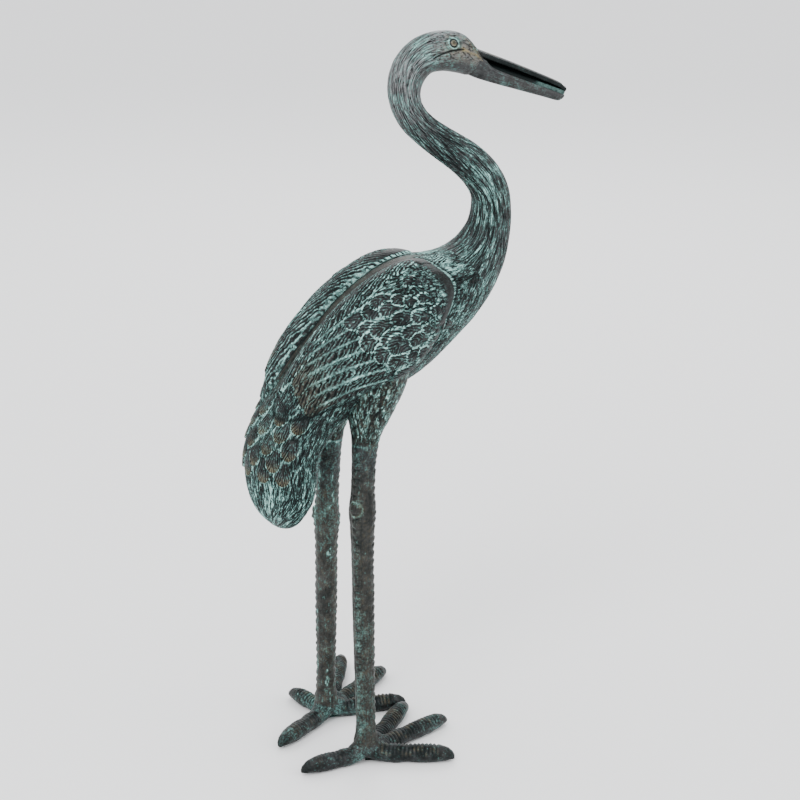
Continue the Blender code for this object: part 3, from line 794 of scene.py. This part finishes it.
class Shape:
    """Closed meshes gathered into one object, with a colour weight at each point."""

    def __init__(self):
        self.points, self.faces, self.colours, self.lies, self.count = [], [], [], [], 0

    def add(self, points, faces, colours, lies):
        """A closed mesh, with its faces turned outward."""
        corners = points[faces[:, :3]]
        volume = np.einsum("ij,ij->i", corners[:, 0], np.cross(corners[:, 1], corners[:, 2])).sum()
        if volume < 0:
            faces = faces[:, ::-1]
        self.points.append(points)
        self.faces.append(faces + self.count)
        self.colours.append(colours)
        self.lies.append(lies)
        self.count += len(points)

    def add_tube(self, points, colours, lies):
        """A closed tube through rings of points, each end drawn in to one point."""
        rows, columns, _ = points.shape
        grid = np.concatenate([points[:1], points, points[-1:]])
        paint = np.concatenate([colours[:1], colours, colours[-1:]])
        index = np.arange((rows + 2) * columns).reshape(rows + 2, columns)
        after = np.roll(index, -1, axis=1)
        quads = np.stack([index[1:-2], after[1:-2], after[2:-1], index[2:-1]], -1).reshape(-1, 4)
        first = np.full(columns, index.size)
        cap = np.stack([after[0], index[0], first, first], -1)
        lid = np.stack([index[-1], after[-1], first + 1, first + 1], -1)
        everything = np.vstack([grid.reshape(-1, 3), points[[0, -1]].mean(axis=1)])
        paint = np.vstack([paint.reshape(-1, 4), colours[[0, -1]].mean(axis=1)])
        lies = np.concatenate([lies[:1], lies, lies[-1:]]).reshape(-1, 4)
        lies = np.vstack([lies, lies[[0, -1]]])
        self.add(everything, np.vstack([quads, cap, lid]), paint, lies)

    def add_sheet(self, top, bottom, colours):
        """A solid between two grids of points with the same rows and columns."""
        rows, columns, _ = top.shape
        index = np.arange(rows * columns).reshape(rows, columns)
        quads = np.stack([index[:-1, :-1], index[:-1, 1:], index[1:, 1:], index[1:, :-1]], -1)
        quads = quads.reshape(-1, 4)
        rim = np.concatenate([index[0, :-1], index[:-1, -1], index[-1, :0:-1], index[:0:-1, 0]])
        after = np.roll(rim, -1)
        below = rows * columns
        wall = np.stack([after, rim, rim + below, after + below], -1)
        faces = np.vstack([quads, quads[:, ::-1] + below, wall])
        points = np.vstack([top.reshape(-1, 3), bottom.reshape(-1, 3)])
        calm = np.full((len(points), 1), 0.8)
        lies = np.hstack([points[:, :2] / TOE_STRAND, 0 * calm, calm])
        self.add(points, faces, np.vstack([colours.reshape(-1, 4)] * 2), lies)

    def build(self, name, material):
        """The finished object."""
        points = np.vstack(self.points)
        points[:, 2] = np.maximum(points[:, 2], 0)
        faces = [[*dict.fromkeys(face)] for face in np.vstack(self.faces).tolist()]
        mesh = bpy.data.meshes.new(name)
        mesh.from_pydata(points.tolist(), [], faces)
        mesh.shade_smooth()
        # Wear weights: patina, gold and grey, with painted shade in the alpha
        for name_in_mesh, values in (("wear_and_shade", np.clip(np.vstack(self.colours), 0, 1)),
                                     ("lie", np.vstack(self.lies))):
            layer = mesh.attributes.new(name_in_mesh, "FLOAT_COLOR", "POINT")
            layer.data.foreach_set("color", values.astype(np.float32).ravel())
        mesh.materials.append(material)
        thing = bpy.data.objects.new(name, mesh)
        bpy.context.scene.collection.objects.link(thing)
        return thing


def even_sections(first, last, count):
    """Section numbers from first to last, evenly spaced along the trunk's side."""
    fine = np.linspace(first, last, 2000)
    pace, _ = trunk_scale(fine, math.pi / 2)
    length = distance_along(pace, fine)
    return np.interp(np.linspace(0, length[-1], count), length, fine)


def turns_around(count):
    """Turns round the trunk, closer together on the back and wings than on the belly."""
    fine = np.linspace(-math.pi, math.pi, 721)
    density = np.where(np.abs(fine) < math.radians(125), 1.2, 0.7)
    total = np.concatenate([[0], np.cumsum((density[1:] + density[:-1]) / 2)])
    return np.interp(np.linspace(0, total[-1], count + 1)[:-1], total, fine)


def make_trunk(material):
    """Rump with the tail, breast with the shoulders, and the neck with head and beak."""
    rng = np.random.default_rng(TRUNK_SEED)
    sections = even_sections(0, NECK_SECTION, mesh_count(BODY_ROWS))
    body = Relief(sections, turns_around(mesh_count(BODY_COLUMNS)), trunk_scale, wing_lift,
                  BODY_STRAND, BODY_GIRTH, BODY_HOLD)
    carve_body(body, rng)
    sections = even_sections(NECK_SECTION, len(TRUNK) - 1, mesh_count(NECK_ROWS))
    neck = Relief(sections, turns_around(mesh_count(NECK_COLUMNS)), trunk_scale, wing_lift,
                  NECK_STRAND, NECK_GIRTH, NECK_HOLD)
    carve_neck(neck, rng)
    body_height, neck_height = body.height(), neck.height()
    seam = np.interp(neck.turns, body.turns, body_height[-1], period=2 * math.pi)
    near = ease(NECK_SECTION + 0.2, NECK_SECTION, neck.section)
    neck_height = neck_height + (seam - neck_height[0]) * near
    third = mesh_count(BODY_ROWS) // 3
    half = mesh_count(NECK_ROWS) // 2
    cuts = ((body, body_height, "crane_rump", slice(0, third + 1)),
            (body, body_height, "crane_back", slice(third, 2 * third + 1)),
            (body, body_height, "crane_breast", slice(2 * third, None)),
            (neck, neck_height, "crane_neck", slice(0, half + 1)),
            (neck, neck_height, "crane_head", slice(half, None)))
    pieces = []
    for relief, height, name, rows in cuts:
        points = trunk_point(relief.section, relief.turn, height) + STAND
        shape = Shape()
        shape.add_tube(points[rows], relief.painted()[rows], relief.lie[rows])
        if name == "crane_head":
            add_beak(shape, rng)
        pieces.append(shape.build(name, material))
    return pieces


def beak_ring(share, half, profile):
    """A ring round the beak at a share of its length. Its half width and the depths
    below the upper edge are in 900ths of the height, and each place across is a share."""
    reach = share * BEAK_LENGTH
    ring = []
    for across, depth in profile:
        down = depth * SHARE
        forward = BEAK_ROOT[0] * SHARE + reach * math.cos(BEAK_SLOPE) + down * math.sin(BEAK_SLOPE)
        up = BEAK_ROOT[1] * SHARE + reach * math.sin(BEAK_SLOPE) - down * math.cos(BEAK_SLOPE)
        ring.append((forward, half * across * SHARE, up))
    return ring


def upper_beak_rings():
    """The upper half of the beak: a slim plate with a slightly hooked tip."""
    rings = []
    for share in (-0.12, 0.0, 0.12, 0.35, 0.65, 0.9, 0.97, 1.0):
        out = max(share, 0)
        half = 12 - 8 * out ** 0.8
        hook = 2.6 * max(share - 0.9, 0) / 0.1
        middle = hook - 1.2 * math.sin(math.pi * out)
        thick = 5.6 - 2.2 * out
        top = middle - 2.2
        low = middle - hook * 0.2 + thick
        flank = top + thick * 0.6
        profile = ((0, top), (0.62, top + 1.1), (1, flank), (0.86, low), (0, low - 0.8),
                   (-0.86, low), (-1, flank), (-0.62, top + 1.1))
        rings.append(beak_ring(share, half, profile))
    return np.array(rings)


def lower_beak_rings():
    """The lower half of the beak, hollowed along its top, growing out of the throat."""
    rings = []
    for share in (-0.34, -0.20, -0.06, 0.06, 0.16, 0.30, 0.55, 0.8, 0.96, 1.0):
        out = max(share, 0)
        sunk = max(-share - 0.02, 0) / 0.32
        opening = min(max((share - 0.08) / 0.1, 0), 1)
        flare = max(1 - abs(share) / 0.2, 0)
        tip = 2.5 * (share == 1.0)
        half = 12.5 - 7.5 * out ** 0.8 - 7 * sunk + 1.8 * flare
        rim = 8.0 + 5.4 * opening - 3.4 * out + 5 * sunk - 1.5 * flare
        low = 29.6 - 10.6 * max(share - 0.2, 0) / 0.8 - 9 * sunk - tip + 1.0 * flare
        trough = min(rim + 5.0 * opening, low - 2.0)
        edge = ((0.45, trough - 0.4 * opening), (0.8, rim), (1.0, rim + 1.5),
                (0.92, (rim + low) / 2), (0.5, low - 1.2))
        mirrored = tuple((-across, depth) for across, depth in reversed(edge))
        rings.append(beak_ring(share, half, ((0.0, trough),) + edge + ((0.0, low),) + mirrored))
    return np.array(rings)


def tongue_rings():
    """The bottom of the gap between the two halves of the beak."""
    rings = []
    for share in (-0.1, 0.3, 0.6, 0.7, 0.8, 1.0):
        out = max(share, 0)
        half = 4.5 - 1.8 * out
        low = 20 - 6 * out
        ledge = 9.5 - 4.2 * out
        profile = ((0.3, 3), (0.3, ledge - 0.4), (1, ledge), (1, low), (-1, low), (-1, ledge),
                   (-0.3, ledge - 0.4), (-0.3, 3))
        rings.append(beak_ring(share, half, profile))
    return np.array(rings)


def finer(rings, rows, around):
    """Rings filled in to more rows and a smooth closed outline."""
    count, sides, _ = rings.shape
    along = smooth_path(rings.reshape(count, -1), np.linspace(0, count - 1, rows))
    along = along.reshape(rows, sides, 3)
    looped = np.concatenate([along[:, -2:], along, along[:, :3]], axis=1).transpose(1, 0, 2)
    where = 2 + np.arange(sides * around) / around
    turned = smooth_path(looped.reshape(sides + 5, -1), where).reshape(sides * around, rows, 3)
    return turned.transpose(1, 0, 2)


def add_beak(shape, rng):
    """Both halves of the beak and a piece in the gap between them, painted as shade but for its ledge."""
    for name, rings, around in (("upper", upper_beak_rings(), 6), ("lower", lower_beak_rings(), 5)):
        points = finer(rings, BEAK_ROWS, around) + STAND
        rows, columns, _ = points.shape
        noise = soft_noise((rows, columns), (30, 14), rng)
        share = np.linspace(0, 1, rows)[:, None] + 0 * noise
        place = np.arange(columns)[None, :] / around + 0 * noise
        place = np.minimum(place, rings.shape[1] - place)
        colours = np.zeros((rows, columns, 4))
        if name == "upper":
            side = ease(0.8, 1.3, place)
            colours[..., 0] = 0.05 + 0.10 * noise
            colours[..., 1] = 0.45 * ease(0.0, 0.5, noise) * (1 - side)
            colours[..., 2] = 0.12 * (1 - side)
            # Painted shade on the sides of the upper half
            colours[..., 3] = 0.80 * side * ease(0.10, 0.25, share)
        else:
            inside = ease(1.9, 1.6, place)
            colours[..., 0] = 0.03 + 0.12 * noise + inside * (0.9 * ease(0.55, 0.85, share) - 0.1)
            colours[..., 2] = 0.12 * (1 - inside) * ease(5.6, 3.6, place)
            # Painted shade inside the trough of the lower half, towards the root
            colours[..., 3] = 0.9 * inside * ease(0.75, 0.55, share)
        lies = np.stack([share * BEAK_LENGTH / NECK_STRAND, place * 3, 0 * place, 0.6 + 0 * place], -1)
        shape.add_tube(points, colours, lies)
    points = tongue_rings() + STAND
    colours = np.zeros(points.shape[:2] + (4,))
    # The piece in the gap is painted shade, but for its ledge
    colours[..., 3] = 1.0
    # The ledge is light with patina towards the tip
    colours[3:, 2:6] = (1.0, 0.0, 0.0, 0.0)
    shape.add_tube(points, colours, 0 * colours)


def leg_path(side, thigh, knee, ahead):
    """Middle line and radius of a leg from the thigh to the top of the foot."""
    radius = LEG_THICKNESS / 2
    foot_side = FEET_APART / 2
    ahead *= SHARE
    path = [(x * SHARE, side * y * SHARE, z * SHARE, r * SHARE) for x, y, z, r in thigh]
    hip = path[-1]
    above = knee * SHARE
    for share, swell in LEG_SWELL:
        height = above * share
        drop = (hip[2] - height) / (hip[2] - ANKLE_HEIGHT)
        across = abs(hip[1]) + (foot_side - abs(hip[1])) * drop
        if height < hip[2] - radius:
            forward = ahead + (hip[0] - ahead) * (1 - drop) ** 6
            path.append((forward, side * across, height, radius * swell))
    for share, swell in ANKLE_SWELL:
        path.append((ahead, side * foot_side, ANKLE_HEIGHT * share, radius * swell))
    return np.array(path)


def leg_rows(knots, count):
    """Even rows down a leg: distance, middle with radius, and two directions square to it."""
    fine = smooth_path(knots, np.linspace(0, len(knots) - 1, 3000))
    step = np.linalg.norm(np.diff(fine[:, :3], axis=0), axis=1)
    length = np.concatenate([[0], np.cumsum(step)])
    where = np.linspace(0, length[-1], count)
    path = np.stack([np.interp(where, length, fine[:, k]) for k in range(4)], -1)
    run = np.gradient(path[:, :3], axis=0)
    run /= np.linalg.norm(run, axis=1, keepdims=True)
    level = np.cross(run, (0.0, 1.0, 0.0))
    level /= np.linalg.norm(level, axis=1, keepdims=True)
    return where, path, level, np.cross(run, level)


def add_leg(shape, side, thigh, knee, ahead, rng):
    """A leg with horizontal plates in front, beads behind and a knob at the knee."""
    knots = leg_path(side, thigh, knee, ahead)
    where, path, level, aside = leg_rows(knots, mesh_count(LEG_ROWS))
    angles = np.linspace(-math.pi, math.pi, mesh_count(LEG_COLUMNS), endpoint=False)
    relief = Relief(where, angles, lambda at, turn: (1.0 + 0 * at, np.interp(at, where, path[:, 3])),
                    lambda at, turn: 0.0, LEG_STRAND, LEG_THICKNESS / 2, LEG_HOLD)
    give_noise(relief, rng, (60, 10), (200, 40))
    ripple, speckle = relief.ripple, relief.speckle
    outer = np.degrees(relief.turn) * -side
    height = path[:, 2:3]
    knee_height = knee * SHARE
    foot_of_thigh = thigh[-1][2] * SHARE

    shank = ease(knee_height + 0.11, knee_height + 0.06, height) * ease(0.02, 0.045, height)
    beat = (height / SCUTE_PITCH + 0.25 * ripple) % 1
    plate = np.minimum(beat / 0.8, (1 - beat) / 0.2)
    front = ease(75, 40, np.abs(outer - SCUTE_TURN)) * shank
    from_beads = np.abs(outer - BEAD_TURN)
    beads = ease(24, 12, from_beads) * shank
    furrow = (bell(from_beads, 27, 6) + bell(outer, SEAM_TURN, 7)) * shank
    bead = np.sin(math.pi * beat)
    relief.lift = SCUTE_RISE * (plate - 0.6) * front + BEAD_RISE * (bead - 0.4) * beads
    relief.lift = relief.lift + 0.00022 * speckle + 0.0003 * ripple
    seams = ease(0.25, 0.0, plate) * np.maximum(front, beads)
    # Seams and furrows are gashes, painted dark as shade
    relief.gash = SEAM_DEPTH * np.maximum(furrow * (0.7 + 0.3 * ripple), seams)
    relief.lie[..., 3] = 0.75 * ease(foot_of_thigh + 0.01, foot_of_thigh - 0.01, height) + 0 * relief.turn
    knob = np.hypot((height - knee_height - 0.004) / 0.0085, (outer - KNOB_TURN) / 34)
    relief.lift = relief.lift + KNOB_RISE * ease(1.0, 0.75, knob)
    end = float(np.interp(-foot_of_thigh, -path[:, 2], where))
    places = scattered(relief, rng, (0.0, end - 0.004), ALL_ROUND, THIGH_MARK)
    heading = side * 0.35 * np.sin(places[1]) + rng.normal(0, 0.15, places.shape[1])
    tool_marks(relief, rng, places, heading, THIGH_MARK, dark=0.6)
    places = scattered(relief, rng, (end, where[-1] - 0.01), ALL_ROUND, SHANK_MARK)
    tool_marks(relief, rng, places, rng.normal(0, 0.2, places.shape[1]), SHANK_MARK)

    upper = ease(foot_of_thigh - 0.006, foot_of_thigh + 0.002, height)
    calf = ease(knee_height + 0.02, knee_height + 0.07, height) * (1 - upper)
    band = bell(height, foot_of_thigh - 0.004, 0.0016) * (0.6 + 0.4 * ripple)
    mark = bell(knob, 1.05, 0.14)
    dots = ease(0.35, 0.9, speckle) * ease(0.0, 0.6, ripple)
    streak = ease(0.35, 0.8, soft_noise(relief.turn.shape, (24, 26), rng))
    streak = streak * ease(-0.3, 0.5, speckle) * ease(1.0, 1.6, knob)
    tint = relief.colour
    tint["patina"] = 0.14 * upper + 0.5 * band + 0.45 * mark + 0.14 * dots
    tint["patina"] += (0.38 + 0.08 * side) * beads * ease(-0.2, 0.7, speckle) * bead
    tint["patina"] += (0.03 + 0.03 * side + (0.27 + 0.19 * side) * streak) * (1 - upper)
    tint["patina"] += 0.11 * calf
    tint["gold"] = 0.06 * (1 - calf) + 0.12 * ease(0.2, 0.8, speckle) + 0.30 * mark
    tint["shade"] = (0.22 - 0.08 * side) * (1 - upper) + 0 * relief.turn
    tint["grey"] = 0.06 * (1 - upper) + 0 * relief.turn
    out = np.cos(relief.turn)[..., None] * level[:, None] + np.sin(relief.turn)[..., None] * aside[:, None]
    points = path[:, None, :3] + (path[:, None, 3:4] + relief.height()[..., None]) * out + STAND
    shape.add_tube(points, relief.painted(), relief.lie)


def foot_middle(side):
    """The middle of a foot, on the ground."""
    return np.array((0.0, side * FEET_APART / 2, 0.0))


def pointing(heading):
    """A level direction by its degrees from the beak's."""
    turn = math.radians(heading)
    return np.array((math.cos(turn), math.sin(turn), 0.0))


def add_toe(shape, side, heading, length, thickness, rng):
    """One toe, ringed across its top, with a claw and a flat sole."""
    radius = TOE_THICKNESS / 2 * thickness
    length = length * SHARE
    bare = length - CLAW_LENGTH
    path = []
    for share, swell in TOE_SWELL:
        path.append((share * bare, radius * swell, TOE_LIFT + radius * max(0.0, 0.9 - 3 * share)))
    for left, swell, lift in CLAW_SWELL:
        path.append((length - CLAW_LENGTH * left, radius * swell, TOE_LIFT * lift))
    path = np.array(path)
    reach = np.linspace(0, length, mesh_count(TOE_ROWS))
    size = np.interp(reach, path[:, 0], path[:, 1])
    lift = np.interp(reach, path[:, 0], path[:, 2])
    angles = np.linspace(-math.pi, math.pi, mesh_count(TOE_COLUMNS), endpoint=False)
    relief = Relief(reach, angles, lambda at, turn: (1.0 + 0 * at, radius + 0 * at),
                    lambda at, turn: 0.0, TOE_STRAND, radius, TOE_HOLD)
    give_noise(relief, rng, (16, 8), (50, 24))
    ripple, speckle = relief.ripple, relief.speckle

    top = ease(-0.1, 0.5, np.sin(relief.turn))
    beat = (relief.section / TOE_RING_PITCH + 0.2 * ripple) % 1
    ringed = ease(length - CLAW_LENGTH * 0.9, length - CLAW_LENGTH * 1.3, relief.section)
    ringed = ringed * ease(0.012, 0.024, relief.section) * top
    ringed = ringed * (HIND_TOE_RINGS if heading > HIND_TOES_FROM else 1.0)
    ring = (0.5 - 0.5 * np.cos(2 * math.pi * beat)) ** 0.7
    relief.lift = TOE_RING_RISE * (ring - 1) * ringed + 0.00018 * (speckle - 1) + 0.0003 * (ripple - 1)
    # The gaps between the rings are gashes, painted dark as shade
    relief.gash = TOE_RING_DEPTH * ringed * (1 - ring)
    relief.lie[..., 3] = 0.65
    places = scattered(relief, rng, (0.01, length - 0.004), ALL_ROUND, TOE_MARK)
    tool_marks(relief, rng, places, rng.normal(0, 0.3, places.shape[1]), TOE_MARK)
    ahead = pointing(heading)
    aside = np.array((-ahead[1], ahead[0], 0.0))
    up = np.array((0.0, 0.0, 1.0))
    size = size * (1 - 0.06 * ease(bare, length, reach))
    middle = foot_middle(side) + ahead * reach[:, None] + up * lift[:, None]
    out = np.cos(relief.turn)[..., None] * aside + np.sin(relief.turn)[..., None] * up
    points = middle[:, None] + (size[:, None, None] + relief.height()[..., None]) * out + STAND

    tint = relief.colour
    near = ease(0.05, 0.015, relief.section)
    claw = ease(length - CLAW_LENGTH * 0.8, length - CLAW_LENGTH * 0.4, relief.section)
    tint["patina"] = (0.10 + 0.06 * side) * near + 0.12 * ease(0.3, 0.9, speckle)
    tint["patina"] += 0.05 * (1 - top)
    tint["patina"] += 0.16 * ringed * ring * ease(-0.2, 0.6, speckle)
    tint["patina"] *= 1 - claw
    tint["gold"] = 0.25 * ringed * ring * ease(0.0, 0.6, ripple)
    # Painted shade low on the toe where it meets the ground; the claw's dark is its own
    tint["shade"] = 0.4 * ease(0.005, 0.0, points[..., 2]) + 0.55 * claw
    shape.add_tube(points, relief.painted(), relief.lie)


def add_web(shape, side, first, second):
    """The skin between the roots of two neighbouring toes."""
    foot = foot_middle(side)
    corners = []
    for heading, length, _ in (first, second):
        corners.append(foot + WEB_REACH * length * SHARE * pointing(heading))
    middle = (corners[0] + corners[1]) / 2 * 0.86 + foot * 0.14
    along = np.linspace(0, 1, WEB_ROWS)[:, None, None]
    across = np.linspace(0, 1, WEB_ROWS)[None, :, None]
    bottom = (foot * (1 - along) * (1 - across) + corners[0] * along * (1 - across)
              + corners[1] * across * (1 - along) + middle * along * across) + STAND
    away = np.maximum(along, across)[..., 0]
    top = bottom.copy()
    top[..., 2] = TOE_THICKNESS * (0.5 + 1.1 * (1 - ease(0, 0.9, away)))
    bottom[..., 2] = 0.0
    colours = np.zeros((WEB_ROWS, WEB_ROWS, 4))
    colours[..., 0] = (0.18 + 0.06 * side) * (1 - 0.75 * away)
    shape.add_sheet(top, bottom, colours)


def make_legs(material):
    """Both legs as one piece, and all toes with the webs between them as another."""
    rng = np.random.default_rng(LEGS_SEED)
    legs = Shape()
    add_leg(legs, -1, RIGHT_THIGH, RIGHT_KNEE, RIGHT_AHEAD, rng)
    add_leg(legs, 1, LEFT_THIGH, LEFT_KNEE, LEFT_AHEAD, rng)
    feet = Shape()
    for side, toes in ((-1, RIGHT_TOES), (1, LEFT_TOES)):
        for toe in toes:
            add_toe(feet, side, *toe, rng)
        front = [toe for toe in sorted(toes) if toe[0] < 90]
        for first, second in zip(front, front[1:]):
            add_web(feet, side, first, second)
    return [legs.build("crane_legs", material), feet.build("crane_feet", material)]


class Nodes:
    """Short calls for wiring up a material."""

    def __init__(self, name):
        self.material = bpy.data.materials.new(name)
        self.material.use_nodes = True
        self.tree = self.material.node_tree
        self.shader = self.tree.nodes["Principled BSDF"]

    def add(self, kind, **settings):
        node = self.tree.nodes.new(kind)
        for key, value in settings.items():
            setattr(node, key, value)
        return node

    def link(self, source, target):
        if isinstance(source, (int, float)):
            target.default_value = source
        elif isinstance(source, tuple):
            target.default_value = (*source, 1.0)
        else:
            self.tree.links.new(source, target)

    def noise(self, scale, detail, rough=0.6):
        place = self.add("ShaderNodeTexCoord").outputs["Object"]
        node = self.add("ShaderNodeTexNoise")
        node.inputs["Scale"].default_value = scale
        node.inputs["Detail"].default_value = detail
        node.inputs["Roughness"].default_value = rough
        self.link(place, node.inputs["Vector"])
        return node.outputs["Fac"]

    def math(self, operation, first, second=0.0, third=0.0):
        node = self.add("ShaderNodeMath", operation=operation)
        for value, socket in zip((first, second, third), node.inputs):
            self.link(value, socket)
        return node.outputs[0]

    def times(self, first, second):
        return self.math("MULTIPLY", first, second)

    def plus(self, first, second):
        return self.math("ADD", first, second)

    def scaled(self, value, slope, start):
        """The value times slope, plus start."""
        return self.math("MULTIPLY_ADD", value, slope, start)

    def off_middle(self, value):
        """How far a value is above a half."""
        return self.math("SUBTRACT", value, 0.5)

    def span(self, value, low, high, start=0.0, end=1.0):
        """A soft step from start to end as the value goes from low to high."""
        node = self.add("ShaderNodeMapRange", clamp=True, interpolation_type="SMOOTHSTEP")
        for item, socket in zip((value, low, high, start, end), node.inputs):
            self.link(item, socket)
        return node.outputs[0]

    def mix(self, factor, first, second):
        node = self.add("ShaderNodeMix", data_type="RGBA")
        self.link(factor, node.inputs[0])
        self.link(first, node.inputs[6])
        self.link(second, node.inputs[7])
        return node.outputs[2]


def fine_strands(nodes):
    """Hair-fine strands along the lie of the carving, even where barbs are cut."""
    lie = nodes.add("ShaderNodeAttribute", attribute_name="lie")
    calm = lie.outputs["Alpha"]
    split = nodes.add("ShaderNodeSeparateXYZ")
    nodes.link(lie.outputs["Vector"], split.inputs[0])
    along, across, even = split.outputs
    fields = []
    for pitch, offset in ((0.75, 0.0), (0.95, 7.3)):
        place = nodes.add("ShaderNodeCombineXYZ")
        for value, socket in zip((along, nodes.times(across, pitch), offset), place.inputs):
            nodes.link(value, socket)
        noise = nodes.add("ShaderNodeTexNoise")
        for key, value in (("Scale", 1.0), ("Detail", 1.5), ("Roughness", 0.55)):
            noise.inputs[key].default_value = value
        nodes.link(place.outputs[0], noise.inputs["Vector"])
        fields.append(noise.outputs["Fac"])
    crease, shine = (nodes.math("ABSOLUTE", nodes.off_middle(field)) for field in fields)
    wander = nodes.times(nodes.off_middle(fields[0]), 5.0)
    wave = nodes.math("COSINE", nodes.scaled(across, 2 * math.pi, wander))
    wave = nodes.scaled(wave, 0.5, 0.5)
    # The strands' dark lines are painted shade in their fine grooves
    dark_lines = nodes.span(crease, 0.0, 0.045, 0.0, 0.5)
    light_lines = nodes.span(shine, 0.05, 0.0, 0.0, 0.5)
    loose = nodes.plus(dark_lines, light_lines)
    strand = nodes.scaled(nodes.math("SUBTRACT", wave, loose), even, loose)
    return nodes.scaled(nodes.math("SUBTRACT", 0.5, strand), calm, strand)


def bronze():
    """Dark bronze with verdigris in its hollows, bare metal on what is rubbed, and painted shade in
    hollows and grooves.
    """
    nodes = Nodes("bronze")
    wear_and_shade = nodes.add("ShaderNodeAttribute", attribute_name="wear_and_shade")
    parts = nodes.add("ShaderNodeSeparateColor")
    nodes.link(wear_and_shade.outputs["Color"], parts.inputs[0])
    patina, gold, grey = parts.outputs[0], parts.outputs[1], parts.outputs[2]
    # The alpha is painted shade
    shade = wear_and_shade.outputs["Alpha"]
    broad = nodes.noise(14.0, 3.0)
    patches = nodes.noise(70.0, 5.0, 0.65)
    grain = nodes.noise(420.0, 4.0, 0.7)
    dust = nodes.noise(1100.0, 2.0, 0.7)
    strand = fine_strands(nodes)
    metal = nodes.mix(nodes.span(patches, 0.35, 0.65), DARK_METAL, LIGHT_METAL)
    metal = nodes.mix(nodes.times(nodes.span(broad, 0.4, 0.65), 0.4), metal, BROWN_METAL)
    bare_strand = nodes.span(strand, 0.10, 0.75, 0.05, 1.0)
    worn = nodes.times(bare_strand, nodes.span(grain, 0.3, 0.6, 0.45, 1.0))
    metal = nodes.mix(nodes.times(grey, worn), metal, GREY_METAL)
    film = nodes.plus(nodes.times(patina, 1.15), nodes.span(patches, 0.42, 0.72, 0.0, 0.22))
    film = nodes.plus(film, nodes.span(broad, 0.42, 0.68, -0.06, 0.14))
    film = nodes.scaled(nodes.span(grain, 0.3, 0.7, -0.5, 0.5), 0.42, film)
    film = nodes.scaled(nodes.off_middle(strand), 0.80, film)
    thin = nodes.span(film, 0.14, 0.60)
    thick = nodes.span(film, 0.50, 1.00)
    colour = nodes.mix(nodes.times(thin, 0.85), metal, THIN_PATINA)
    colour = nodes.mix(nodes.times(thick, 0.95), colour, THICK_PATINA)
    rubbed = nodes.times(gold, nodes.span(patches, 0.35, 0.6, 0.3, 1.0))
    rubbed = nodes.times(rubbed, nodes.span(strand, 0.30, 0.55, 0.25, 1.0))
    rubbed = nodes.times(rubbed, nodes.span(film, 0.95, 0.45))
    colour = nodes.mix(rubbed, colour, RUBBED_METAL)
    # Painted shade from the shade weight and the strands' dark lines, in the same near black as dark parts
    painted_shade_and_dark = nodes.math("MAXIMUM", shade, nodes.span(strand, 0.42, 0.05, 0.0, 0.85))
    colour = nodes.mix(nodes.times(painted_shade_and_dark, 0.96), colour, DARK_AND_PAINTED_SHADE)
    nodes.shader.inputs["Specular IOR Level"].default_value = 0.15
    nodes.link(colour, nodes.shader.inputs["Base Color"])
    nodes.link(nodes.span(film, 0.1, 0.8, 0.62, 0.10), nodes.shader.inputs["Metallic"])
    nodes.link(nodes.span(film, 0.1, 0.9, 0.46, 0.80), nodes.shader.inputs["Roughness"])
    height = nodes.scaled(grain, 0.5, nodes.times(dust, 0.2))
    height = nodes.scaled(strand, 0.7, height)
    bump = nodes.add("ShaderNodeBump")
    bump.inputs["Strength"].default_value = 0.55
    bump.inputs["Distance"].default_value = 0.0006
    nodes.link(height, bump.inputs["Height"])
    nodes.link(bump.outputs["Normal"], nodes.shader.inputs["Normal"])
    return nodes.material


def set_up(name, data, place, look):
    """Puts a lamp or the camera in its place, looking along a direction."""
    holder = bpy.data.objects.new(name, data)
    holder.location = place
    holder.rotation_euler = look.to_track_quat("-Z", "Y").to_euler()
    bpy.context.scene.collection.objects.link(holder)
    return holder


def make_stage():
    """Pale floor, soft light and the camera."""
    bpy.ops.mesh.primitive_plane_add(size=FLOOR_SIZE, location=(0.0, 0.0, 0.0))
    floor = bpy.context.object
    floor.name = "floor"
    paper = Nodes("paper")
    paper.shader.inputs["Base Color"].default_value = (*FLOOR_COLOUR, 1.0)
    paper.shader.inputs["Roughness"].default_value = 0.9
    floor.data.materials.append(paper.material)
    world = bpy.data.worlds.new("studio")
    world.use_nodes = True
    sky = world.node_tree.nodes["Background"]
    sky.inputs["Color"].default_value = (*SKY_COLOUR, 1.0)
    sky.inputs["Strength"].default_value = SKY_STRENGTH
    bpy.context.scene.world = world
    for name, place, size, power in LAMPS:
        lamp = bpy.data.lights.new(name, "AREA")
        lamp.size = size
        lamp.energy = power
        set_up(name, lamp, Vector(place), Vector(LAMP_AIM) - Vector(place))
    camera = bpy.data.cameras.new("camera")
    camera.lens = CAMERA_LENS
    camera.sensor_width = SENSOR_WIDTH
    level = math.cos(CAMERA_DROP)
    look = Vector((-math.sin(CAMERA_HEADING) * level, math.cos(CAMERA_HEADING) * level,
                   -math.sin(CAMERA_DROP)))
    view = set_up("camera", camera, Vector(CAMERA_PLACE) + Vector(STAND), look)
    bpy.context.scene.camera = view


def main():
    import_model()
    material = bronze()
    for piece in make_trunk(material) + make_legs(material):
        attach(piece, "root")
        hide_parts("crane")
    make_stage()


main()
